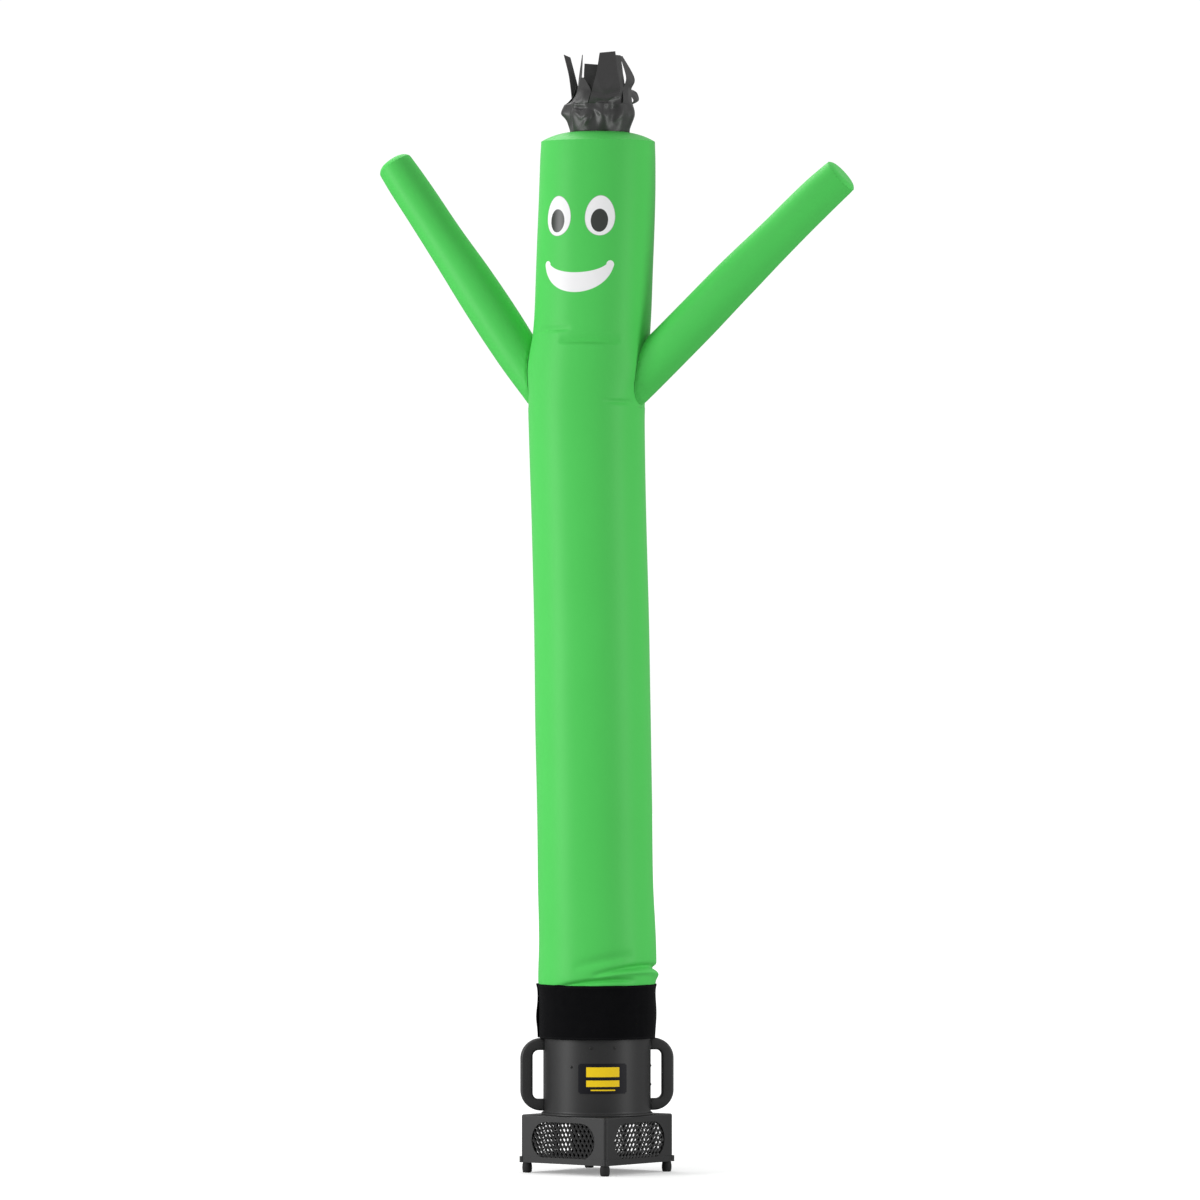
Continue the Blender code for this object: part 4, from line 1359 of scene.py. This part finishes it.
@dataclass
class EndDisc(Assembly):
    """A disc of cloth that closes a tube, domed by the air."""

    name: str
    node: str
    radius: float
    rise: float
    power: float
    matrix: Matrix
    columns: int = 96
    rows: int = 22
    pucker: int = 26
    pucker_depth: float = 0.0003

    def build(self) -> None:
        def share(row: int) -> float:
            """Share of the radius, finer near the seam."""
            return 1 - (row / self.rows) ** 1.5

        def place(column: int, row: int) -> Vector:
            """A point of the dome."""
            at, angle = share(row), math.tau * column / self.columns
            height = dome_height(at, self.rise, self.power)
            height += self.pucker_depth * math.sin(self.pucker * angle) * bell(1 - at, 0.18) * at
            return around(self.radius * at, angle, height)

        def seam(column: int, row: int) -> Pair:
            """Its place beside the seam."""
            return math.tau * self.radius * column / self.columns, (1 - share(row)) * self.radius

        bm = bmesh.new()
        self.maker.lay(bm, self.columns, self.rows, place, lambda c, r: place(c, r).xy, seam, wrap=True)
        bmesh.ops.remove_doubles(bm, verts=bm.verts, dist=WELD)
        piece = self.maker.finish(
            self.name, bm, self.matrix, self.wear.green, [self.node], "green_cloth", THIN
        )


@dataclass
class Hair(Assembly):
    """The gathered sleeve on the crown and the strips cut from it."""

    shift: float = 0.0045
    thick: float = 0.0010
    first_strip: float = -5.0
    bow: float = 0.003
    strip_columns: int = 12
    strip_rows: int = 44
    sleeve_rows: int = 30
    crease: float = 0.0036
    fine_crease: float = 0.0004

    def sleeve_point(self, turn: float, height: float) -> Vector:
        """A point of the sleeve in the hair's frame.

        Args:
            turn: Degrees round the crown from the viewer's side.
            height: Height above the crown's edge.

        Returns:
            The point.
        """
        fold = math.sin(math.radians(7 * turn + 40)) + math.sin(math.radians(11 * turn))
        out = smooth(SLEEVE, "radius", height) + smooth(SLEEVE, "pleat", height) * fold
        for lobe in LOBES:
            tall = lobe.above if height > lobe.height else lobe.below
            near = bell(turn_between(turn, lobe.turn), lobe.spread)
            out += lobe.out * near * bell(height - lobe.height, tall)
        angle = math.radians(turn)
        return Vector((self.shift + out * math.sin(angle), -out * math.cos(angle), height))

    def strip_point(self, index: int, across: float, up: float) -> Vector:
        """A point of a strip in the hair's frame.

        Args:
            index: Which strip.
            across: From -1 to 1.
            up: From 0 at its root to 1 at its tip.

        Returns:
            The point.
        """
        strip, top = STRIPS[index], SLEEVE[-1]
        turn = self.first_strip + index * STRIP_TURN
        edge = self.sleeve_point(turn + across * STRIP_TURN / 2, top.height)
        if up == 0:
            return edge
        root_wide = 2 * top.radius * math.sin(math.radians(STRIP_TURN / 2))
        stations = (
            Station(0.0, *self.sleeve_point(turn, top.height), root_wide),
            Station(0.33, *strip.knee, strip.knee_wide or (root_wide + 2 * strip.wide) / 3),
            Station(0.66, *strip.middle, strip.wide),
            Station(1.0, *strip.tip, strip.tip_wide),
        )
        x, y, z, wide = (smooth(stations, item, up, "up") for item in ("x", "y", "z", "wide"))
        facing = math.radians(turn + turn_between(strip.facing, turn) * min(1, 1.6 * up))
        side = Vector((math.cos(facing), math.sin(facing), 0))
        out = Vector((math.sin(facing), -math.cos(facing), 0))
        bow = self.bow * (1 - abs(across)) * math.sin(math.pi * min(1, 1.4 * up))
        middle = Vector((x, y, z + across * strip.slant * up**4))
        return edge.lerp(middle + side * (across * wide / 2) + out * bow, ease(up, 0.0, 0.10))

    def build(self) -> None:
        columns = self.strip_columns * len(STRIPS)
        bottom, top = SLEEVE[0].height, SLEEVE[-1].height
        maker, bm = self.maker, bmesh.new()

        def sleeve_height(row: int) -> float:
            """Height of a row of the sleeve."""
            return bottom + (top - bottom) * row / self.sleeve_rows

        def sleeve_place(column: int, row: int) -> Vector:
            """A point of the sleeve, its root on the crown."""
            turn = self.first_strip - STRIP_TURN / 2 + 360 * column / columns
            height = sleeve_height(row)
            point = self.sleeve_point(turn, height)
            share = (math.hypot(point.x, point.y) - self.thick / 2) / BODY_RINGS[-1].radius
            seat = dome_height(share, CROWN_RISE, CROWN_POWER) + GAP
            near = bell(height - bottom, 0.004)
            point.z = point.z * (1 - near) + seat * near
            return point

        maker.lay(
            bm,
            columns,
            self.sleeve_rows,
            sleeve_place,
            lambda c, r: (0.50 * c / columns, sleeve_height(r)),
            wrap=True,
        )
        across, up = self.strip_columns, self.strip_rows
        for index in range(len(STRIPS)):
            maker.lay(
                bm,
                across,
                up,
                lambda c, r: self.strip_point(index, 2 * c / across - 1, r / up),
                lambda c, r: (0.045 * index + 0.003 * c, top + 0.14 * r / up),
            )
        bmesh.ops.remove_doubles(bm, verts=bm.verts, dist=1e-5)
        bm.normal_update()
        moves = [(vertex, vertex.normal.copy() * self.crumple(vertex.co)) for vertex in bm.verts]
        for vertex, move in moves:
            vertex.co += move
        place, cloth, slot = maker.frames.tuft, self.wear.hair, "hair_nylon"
        piece = maker.finish("hair_strips", bm, place, cloth, ["hair_tuft"], slot, self.thick, offset=0.0)

    def crumple(self, point: Vector) -> float:
        """How far the nylon is crumpled out.

        Args:
            point: A point in the hair's frame.

        Returns:
            The relief.
        """
        cells = noise.voronoi(Vector((point.x, point.y, point.z * 0.8)) * 13.0)[0]
        small = noise.voronoi(point * 42.0)[0]
        relief = self.crease * (min(cells[1] - cells[0], 0.7) - 0.3)
        relief += self.fine_crease * (min(small[1] - small[0], 0.6) - 0.3)
        relief *= 1 - 0.85 * ease(point.z, 0.105, 0.150)
        if point.y < -0.03:
            relief -= sum(self.drawn(crease, point) for crease in CREASES)
        return relief * ease(point.z, 0.024, 0.060)

    @staticmethod
    def drawn(crease: Crease, point: Vector) -> float:
        """How deep a crease lies at a point.

        Args:
            crease: The crease, tapered to its ends.
            point: A point in the hair's frame.

        Returns:
            The depth.
        """
        first, last = Vector(crease.first), Vector(crease.last)
        place, run = Vector((point.x, point.z)) - first, last - first
        share = min(1.0, max(0.0, place.dot(run) / run.length_squared))
        away = (place - run * share).length
        return crease.depth * bell(away, crease.width) * (0.35 + 0.65 * math.sin(math.pi * share))


@dataclass
class Collar(Assembly):
    """The wrap band round the cloth, its loose end over its hidden one."""

    thick: float = 0.003
    bottom: float = 0.3590
    top: float = 0.503
    first: float = -112.5  # degrees from the figure's front to its hidden end
    ramp: float = 45.0  # degrees over which the outer end climbs over the hidden one
    lap: float = 45.0
    lift: float = 0.0035
    loose: float = 0.0050
    columns: int = 216
    rows: int = 36

    def build(self) -> None:
        whole = 360 + self.lap
        tall = self.top - self.bottom

        def place(column: int, row: int) -> Vector:
            """A point of the band's outer side."""
            run, share = whole * column / self.columns, row / self.rows
            turn, angle = self.first + run, math.radians(run)
            height = self.bottom + tall * share
            past = max(0.0, run - 360) / self.lap
            grow = GAP + self.thick + self.lift * ease(run, 360 - self.ramp, 360)
            grow = grow + self.loose * bell(share - 0.4, 0.24) * past**2
            uneven = 0.0003 * noise.noise(Vector((math.cos(angle), math.sin(angle), height)) * 9)
            grow += fold_relief(COLLAR_FOLDS, turn, height) + uneven
            edge = 0.0009 * noise.noise(Vector((run / 14, 3.0 * round(share), 0.5)))
            point = body_point(turn, height, grow)
            point.z += edge * abs(2 * share - 1) ** 6
            return point

        def flat(column: int, row: int) -> Pair:
            """Its place on the flat band."""
            return math.radians(whole * column / self.columns) * 0.156, tall * row / self.rows

        def seam(column: int, row: int) -> Pair:
            """Its place beside the nearer edge."""
            along, up = flat(column, row)
            return along, min(up, tall - up)

        maker, bm = self.maker, bmesh.new()
        maker.lay(bm, self.columns, self.rows, place, flat, seam)
        figure, felt, slot = maker.frames.figure, self.wear.felt, "collar_cloth"
        piece = maker.finish("wrap_collar", bm, figure, felt, ["collar_band"], slot, self.thick)
        rim = piece.modifiers.new("Soft edge", "BEVEL")
        rim.width = 0.0008
        rim.segments = 2
        rim.angle_limit = math.radians(50)


@dataclass
class Duct(Assembly):
    """The blower's round housing, with its flange, lap seam, rivets, label and gland."""

    wall: float = 0.004
    bottom: float = 0.1553
    flange_radius: float = 0.1485
    flange_height: float = 0.005
    seat_radius: float = 0.1497
    seat_bottom: float = 0.3600
    seat_top: float = 0.4850
    sides: int = 160
    bead: float = 0.0012
    rivet_radius: float = 0.0036
    rivet_height: float = 0.3375
    rivet_turn: float = 13.0
    lap_turn: float = 72.0
    lap_wide: float = 9.0
    lap_thick: float = 0.0009
    label_width: float = 0.128
    label_height: float = 0.080
    label_middle: float = 0.256
    label_thick: float = 0.0010
    label_corner: float = 0.004
    gland_height: float = 0.235

    def profile(self) -> list[Pair]:
        """The section of its wall, down the outside and up the inside.

        Returns:
            Radius and height of each point.
        """
        inner, radius = DUCT_RADIUS - self.wall, DUCT_RADIUS
        flange_top = self.bottom + self.flange_height
        points = [
            (inner, self.seat_top + 0.004),
            (self.seat_radius - 0.005, self.seat_top + 0.004),
            (self.seat_radius, self.seat_top - 0.002),
            (self.seat_radius, self.seat_bottom + 0.002),
            (radius, self.seat_bottom - 0.001),
        ]
        points += [(radius, self.seat_bottom - 0.004 - 0.02 * step) for step in range(10)]
        points.append((radius, flange_top + 0.0065))
        for step in range(6):
            angle = math.radians(90 * step / 5)
            reach = radius + 0.0040 * (1 - math.cos(angle))
            points.append((reach, flange_top + 0.0050 - 0.0050 * math.sin(angle)))
        for step in range(5):
            angle = math.radians(90 - 90 * step / 4)
            reach = self.flange_radius - self.bead * (1 - math.cos(angle))
            points.append((reach, flange_top - self.bead * (1 - math.sin(angle))))
        points += [(self.flange_radius, self.bottom + 0.0008), (self.flange_radius - 0.0008, self.bottom)]
        return points + [(inner, self.bottom)]

    def build(self) -> None:
        """Builds the housing and what is fixed to it."""
        maker, place = self.maker, self.maker.frames.blower
        bm = maker.turned(self.profile(), self.sides, closed=True)
        paint, node = self.wear.paint, ["blower_duct"]
        maker.finish("duct_housing", bm, place, paint, node, "blower_paint", sharp=40)
        self.build_lap()
        self.build_rivets()
        self.build_label()
        self.build_gland()

    def build_lap(self) -> None:
        """Builds the upright lap where the housing's sheet meets itself."""
        bottom, top = self.bottom + 0.016, self.seat_bottom - 0.006
        bm = bmesh.new()

        def place(column: int, row: int) -> Vector:
            """A point of the lap's outer side, thin at one edge."""
            share = column / 6
            angle = math.radians(self.lap_turn + self.lap_wide * share)
            reach = DUCT_RADIUS + self.lap_thick * (1 - 0.5 * share) * min(1, 4 * (1 - share))
            return around(reach, angle, bottom + (top - bottom) * row / 4)

        self.maker.lay(bm, 6, 4, place, lambda c, r: (0.004 * c, 0.04 * r))
        blower, paint = self.maker.frames.blower, self.wear.paint
        self.maker.finish("duct_lap", bm, blower, paint, thickness=0.0012, sharp=40)

    def build_rivets(self) -> None:
        """Builds the small domed rivets, front and back."""
        seats = [(turn, self.rivet_height) for turn in (-self.rivet_turn, self.rivet_turn)]
        seats += [(180 + turn, height) for turn, height in seats]
        seats.append((-35.0, 0.2865))
        seats += [(self.lap_turn + 5.0, height) for height in (0.185, 0.235, 0.285, 0.335)]
        radius = self.rivet_radius
        angles = [math.radians(18 * n) for n in range(6)]
        dome = [(radius * math.sin(angle), 0.55 * radius * math.cos(angle)) for angle in angles]
        bm = bmesh.new()
        for turn, height in seats:
            part = self.maker.turned(dome + [(radius, -0.001), (0, -0.001)], 16)
            out = around(1.0, math.radians(turn), 0)
            seat = Matrix.Translation(out * (DUCT_RADIUS + 0.0008) + Vector((0, 0, height)))
            part.transform(seat @ out.to_track_quat("Z", "Y").to_matrix().to_4x4())
            holder = bpy.data.meshes.new("rivet")
            part.to_mesh(holder)
            part.free()
            bm.from_mesh(holder)
            bpy.data.meshes.remove(holder)
        blower, metal = self.maker.frames.blower, self.wear.rivet
        self.maker.finish("duct_rivets", bm, blower, metal, slot="blower_paint")

    def build_label(self) -> None:
        """Builds the label plate, bent round the front."""
        half = math.asin(self.label_width / 2 / DUCT_RADIUS)
        radius = DUCT_RADIUS + GAP + self.label_thick
        columns, rows = 32, 20

        def place(column: int, row: int) -> Vector:
            """A point of the plate, its corners rounded."""
            across, up = 2 * column / columns - 1, 2 * row / rows - 1
            inset = self.label_corner * ease(abs(across), 0.94, 1.0) * ease(abs(up), 0.92, 1.0)
            height = self.label_middle + up * (self.label_height / 2 - 0.6 * inset)
            return around(radius, across * (half - inset / radius), height)

        def flat(column: int, row: int) -> Pair:
            """Its place on the flat plate, from its middle."""
            return (column / columns - 0.5) * 2 * half * radius, (row / rows - 0.5) * self.label_height

        maker, bm = self.maker, bmesh.new()
        maker.lay(bm, columns, rows, place, flat)
        blower, film, node = maker.frames.blower, self.wear.label, ["label_plate"]
        maker.finish("label_panel", bm, blower, film, node, "label_film", self.label_thick)

    def build_gland(self) -> None:
        """Builds the cable gland at the back, with its ribbed nut."""
        profile = [
            *((0.0048, 0.0140), (0.0055, 0.0200), (0.0078, 0.0198), (0.0092, 0.0185), (0.0096, 0.0110)),
            *((0.0110, 0.0100), (0.0110, 0.0020), (0.0110, -0.0015), (0.0048, -0.0015)),
        ]
        bm = self.maker.turned(profile, 48, closed=True)
        for vertex in bm.verts:
            if 0.0085 < math.hypot(vertex.co.x, vertex.co.y) < 0.0100:
                scale = 1 + 0.03 * math.cos(12 * math.atan2(vertex.co.y, vertex.co.x))
                vertex.co.x *= scale
                vertex.co.y *= scale
        place = self.maker.frames.blower @ Matrix.Translation((0, DUCT_RADIUS, self.gland_height))
        place = place @ Matrix.Rotation(-math.pi / 2, 4, "X")
        plastic, node = self.wear.plastic, ["cable_gland"]
        self.maker.finish("power_gland", bm, place, plastic, node, "handle_plastic", sharp=35)


@dataclass
class Handles(Assembly):
    """The two fixed D handles."""

    middle: float = 0.2615
    depth: float = 0.030
    edge: float = 0.0055
    half_height: float = 0.0965
    reach: float = 0.205
    corner: float = 0.054
    gap_half_height: float = 0.065
    gap_reach: float = 0.1735
    gap_corner: float = 0.016
    steps: int = 14

    def arc(self, centre: Pair, radius: float, first: float, last: float) -> list[Pair]:
        """Points along an arc, angles in degrees."""
        turns = [math.radians(first + (last - first) * n / self.steps) for n in range(self.steps + 1)]
        return [(centre[0] + radius * math.cos(a), centre[1] + radius * math.sin(a)) for a in turns]

    def outline(self) -> list[Pair]:
        """The handle's outline, its arms just inside the housing's wall.

        Returns:
            Its points in order.
        """
        start = DUCT_RADIUS - 0.0025
        points = []
        for half_height, reach, corner, way in (
            (self.half_height, self.reach, self.corner, 1),
            (self.gap_half_height, self.gap_reach, self.gap_corner, -1),
        ):
            across, up = reach - corner, half_height - corner
            points.append((start, -way * half_height))
            points += self.arc((across, -way * up), corner, -90 * way, 0)
            points += self.arc((across, way * up), corner, 0, 90 * way)
            points.append((start, way * half_height))
        return points

    def build(self) -> None:
        """Builds both handles."""
        place = self.maker.frames.blower @ Matrix.Translation((0, 0, self.middle))
        for side, turn in (("left", 180), ("right", 0)):
            bm = self.maker.outline(self.outline(), self.depth, self.edge, 3)
            matrix = place @ Matrix.Rotation(math.radians(turn), 4, "Z")
            name, node, plastic = "handle_grip_" + side, ["handle_" + side], self.wear.plastic
            self.maker.finish(name, bm, matrix, plastic, node, "handle_plastic", sharp=50)


@dataclass
class Base(Assembly):
    """The base's grilles and feet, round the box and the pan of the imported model."""

    box_side: float = 0.290
    box_wall: float = 0.004
    grille_width: float = 0.236
    grille_bottom: float = 0.0335
    grille_top: float = 0.1500
    mesh_wide: float = 0.0140
    mesh_tall: float = 0.0255
    strand: float = 0.0022
    tilt: float = 0.0036
    foot_place: float = 0.1874
    foot_height: float = 0.0272
    foot_sides: int = 40
    corner_angle: float = 50.0

    def build(self) -> None:
        """Builds the grilles and feet and paints the box and the pan."""
        rounded = self.make_rounding()
        for name in ("base_box", "base_pan"):
            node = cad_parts[name]
            node.data.materials.clear()
            node.data.materials.append(self.wear.paint)
            node.modifiers.new("Rounding", "NODES").node_group = rounded
            LOG.info("%s: painted", name)
        for number in range(4):
            self.build_grille(number)
            self.build_foot(number)

    def make_rounding(self) -> Tree:
        """Builds the modifier that shades rounded corners smooth and keeps sharp ones.

        Returns:
            Its node group.
        """
        tree = bpy.data.node_groups.new("rounded_corners", "GeometryNodeTree")
        for way in ("INPUT", "OUTPUT"):
            tree.interface.new_socket(name="Geometry", in_out=way, socket_type="NodeSocketGeometry")
        nodes = Nodes(tree)
        given, made = nodes.add("NodeGroupInput"), nodes.add("NodeGroupOutput")
        whole = nodes.add("GeometryNodeSetShadeSmooth")
        sharp = nodes.add("GeometryNodeSetShadeSmooth", domain="EDGE")
        angle = nodes.add("GeometryNodeInputMeshEdgeAngle")
        nodes.put(whole.inputs["Geometry"], given.outputs[0])
        whole.inputs["Shade Smooth"].default_value = True
        nodes.put(sharp.inputs["Geometry"], whole.outputs[0])
        steep = nodes.math("GREATER_THAN", angle.outputs[0], math.radians(self.corner_angle))
        nodes.put(sharp.inputs["Selection"], steep)
        sharp.inputs["Shade Smooth"].default_value = False
        nodes.put(made.inputs[0], sharp.outputs[0])
        return tree

    def build_grille(self, number: int) -> None:
        """Builds one sheet of expanded metal, its strands tilted as they are drawn.

        Args:
            number: Which side of the box.
        """
        bm = bmesh.new()
        wide, tall = self.mesh_wide / 2, self.mesh_tall / 2
        columns = int(self.grille_width / wide)
        rows = int((self.grille_top - self.grille_bottom) / tall)
        corners = [Vector(corner) for corner in ((wide, 0, 0), (0, 0, tall), (-wide, 0, 0), (0, 0, -tall))]
        inset = 1 - self.strand * math.hypot(wide, tall) / (wide * tall)
        pushes = [Vector((0, push, 0)) for push in (0.0, -self.tilt, 0.0, self.tilt)]
        for row in range(rows):
            for column in range(row % 2, columns, 2):
                middle = Vector(((column - (columns - 1) / 2) * wide, 0, (row - (rows - 1) / 2) * tall))
                outer = [bm.verts.new(middle + corner) for corner in corners]
                inner = [
                    bm.verts.new(middle + corner * inset + push)
                    for corner, push in zip(corners, pushes)
                ]
                for n, m in ((0, 1), (1, 2), (2, 3), (3, 0)):
                    bm.faces.new((outer[n], outer[m], inner[m], inner[n]))
        bmesh.ops.remove_doubles(bm, verts=bm.verts, dist=1e-5)
        bmesh.ops.recalc_face_normals(bm, faces=bm.faces)
        angle = math.radians(90 * number)
        away = self.box_side / 2 - self.box_wall - GAP - 0.0004
        place = self.maker.frames.base @ Matrix.Translation(around(away, angle, 0))
        middle_height = Matrix.Translation((0, 0, (self.grille_bottom + self.grille_top) / 2))
        self.maker.finish(
            f"grille_mesh_{number + 1}",
            bm,
            place @ Matrix.Rotation(angle, 4, "Z") @ middle_height,
            self.wear.steel,
            [f"grille_{number + 1}"],
            "grille_steel",
            0.0012,
            sharp=30,
            offset=0.0,
        )

    def build_foot(self, number: int) -> None:
        """Builds one barrel-shaped foot.

        Args:
            number: Which corner.
        """
        profile = [(0.0, self.foot_height), (0.0112, self.foot_height)]
        for step in range(13):
            share = step / 12
            swell = 0.0114 + 0.0018 * math.sin(math.pi * (1 - share)) ** 0.7
            profile.append((swell, self.foot_height * (0.975 - 0.93 * share)))
        bm = self.maker.turned(profile + [(0.0100, 0.0), (0.0, 0.0)], self.foot_sides)
        angle = math.radians(90 * number)
        place = Vector((self.foot_place * math.cos(angle), self.foot_place * math.sin(angle), 0))
        matrix = self.maker.frames.blower @ Matrix.Translation(place)
        name, node, rubber = f"foot_pad_{number + 1}", [f"foot_{number + 1}"], self.wear.rubber
        self.maker.finish(name, bm, matrix, rubber, node, "foot_rubber", sharp=40)


@dataclass
class SoftBox:
    """One soft light: its side of the camera, its height, size and power."""

    name: str
    beside: float
    distance: float
    height: float
    size: Pair
    power: float


@dataclass
class Studio:
    """The pale floor, the soft lights and the camera."""

    axis: Vector
    azimuth: float = -6.4
    lens: float = 270.0
    sensor: float = 36.0
    picture_height: float = 3.204
    aim_right: float = 0.008
    aim_height: float = 1.527
    floor_half: float = 40.0
    floor_fade: Pair = (0.7, 2.6)
    floor_glow: float = 0.25

    def camera(self) -> None:
        """Places the camera at the photograph's angle."""
        angle = math.radians(self.azimuth)
        right = Vector((math.cos(angle), math.sin(angle), 0))
        back = around(1.0, angle, 0)
        data = bpy.data.cameras.new("photo_camera")
        data.lens = self.lens
        data.sensor_width = self.sensor
        data.clip_end = 200.0
        camera = bpy.data.objects.new("photo_camera", data)
        bpy.context.scene.collection.objects.link(camera)
        target = self.axis + right * self.aim_right + Vector((0, 0, self.aim_height))
        camera.location = target + back * (self.picture_height * self.lens / self.sensor)
        camera.rotation_mode = "QUATERNION"
        camera.rotation_quaternion = (-back).to_track_quat("-Z", "Y")
        bpy.context.scene.camera = camera

    def light(self, box: SoftBox) -> None:
        """Hangs one soft light, turned to the figure.

        Args:
            box: What it is.
        """
        place = around(1.0, math.radians(self.azimuth + box.beside), 0) * box.distance
        place.z = box.height
        data = bpy.data.lights.new(box.name, "AREA")
        data.shape = "RECTANGLE"
        data.size, data.size_y = box.size
        data.energy = box.power
        lamp = bpy.data.objects.new(box.name, data)
        bpy.context.scene.collection.objects.link(lamp)
        lamp.location = place
        aim = Vector((0, 0, min(box.height, 1.5))) - place
        lamp.rotation_mode = "QUATERNION"
        lamp.rotation_quaternion = aim.to_track_quat("-Z", "Y")

    def sky(self) -> None:
        """Sets the white surround, dimmer as a light than it looks."""
        world = bpy.data.worlds.new("studio")
        bpy.context.scene.world = world
        world.use_nodes = True
        nodes = Nodes(world.node_tree)
        background = world.node_tree.nodes["Background"]
        path = nodes.add("LightPath")
        strength = nodes.math("MULTIPLY_ADD", path.outputs["Is Camera Ray"], 0.40, 0.64)
        background.inputs["Color"].default_value = (1, 1, 1, 1)
        nodes.put(background.inputs["Strength"], strength)

    def floor(self) -> None:
        """Lays the pale floor."""
        bm = bmesh.new()
        bmesh.ops.create_grid(bm, x_segments=2, y_segments=2, size=self.floor_half)
        mesh = bpy.data.meshes.new("studio_floor")
        bm.to_mesh(mesh)
        bm.free()
        material = bpy.data.materials.new("pale_floor")
        material.use_nodes = True
        shader = material.node_tree.nodes["Principled BSDF"].inputs
        nodes = Nodes(material.node_tree)
        length = nodes.add("VectorMath", operation="LENGTH")
        nodes.put(length.inputs[0], nodes.add("TexCoord").outputs["Object"])
        far = nodes.span(length.outputs["Value"], self.floor_fade)
        seen = nodes.add("LightPath").outputs["Is Camera Ray"]
        glow = nodes.math("MULTIPLY_ADD", far, 0.90, self.floor_glow)
        near = nodes.mix(far, (0.86, 0.86, 0.86), (0.1, 0.1, 0.1))
        nodes.put(shader["Base Color"], nodes.mix(seen, (0.35, 0.35, 0.35), near))
        shader["Roughness"].default_value = 0.9
        shader["Specular IOR Level"].default_value = 0.0
        shader["Emission Color"].default_value = (1, 1, 1, 1)
        nodes.put(shader["Emission Strength"], nodes.math("MULTIPLY", glow, seen))
        mesh.materials.append(material)
        floor = bpy.data.objects.new("studio_floor", mesh)
        bpy.context.scene.collection.objects.link(floor)

    def build(self) -> None:
        """Builds the studio."""
        self.camera()
        self.sky()
        self.floor()
        for box in (
            SoftBox("key_light", -68.0, 4.6, 1.6, (1.5, 2.9), 152.0),
            SoftBox("side_light", 64.0, 5.0, 1.5, (1.0, 2.8), 105.0),
            SoftBox("top_light", -148.0, 1.9, 5.2, (3.0, 3.0), 84.0),
        ):
            self.light(box)
        bpy.context.scene.view_settings.view_transform = "Standard"
        LOG.info("studio: camera, floor and lights")


def main() -> None:
    """Builds every piece in order."""
    logging.basicConfig(level=logging.INFO, format="%(name)s %(message)s")
    frames = Frames()
    Studio(frames.axis).build()
    kit = Maker(frames), Wardrobe()
    left = ArmSleeve(*kit, "left_arm", -1, LEFT_RINGS, 0.0155, 5.0)
    right = ArmSleeve(*kit, "right_arm", 1, RIGHT_RINGS, 0.0095, 7.0)
    torso_steps = ((0.500, 0.0055), (0.620, 0.0020), (2.0400, 0.0100))
    head_steps = ((2.2700, 0.0025), (2.7500, 0.0060))
    crown = BODY_RINGS[-1].radius, CROWN_RISE, CROWN_POWER, frames.crown
    for piece in (
        BodyTube(*kit, "torso_tube_cloth", "torso_tube", 0.3625, 2.0400, torso_steps),
        BodyTube(*kit, "chest_cloth", "chest_panel", 2.04, 2.25, ((2.25, 0.0025),), arms=(left, right)),
        BodyTube(*kit, "head_cloth", "head_tube", 2.2500, 2.7500, head_steps, printed=True),
        EndDisc(*kit, "crown_cap", "crown_disc", *crown, columns=144, pucker=48),
        left,
        right,
        Hair(*kit),
        Collar(*kit),
        Duct(*kit),
        Handles(*kit),
        Base(*kit),
    ):
        piece.build()


if __name__ == "__main__":
    main()
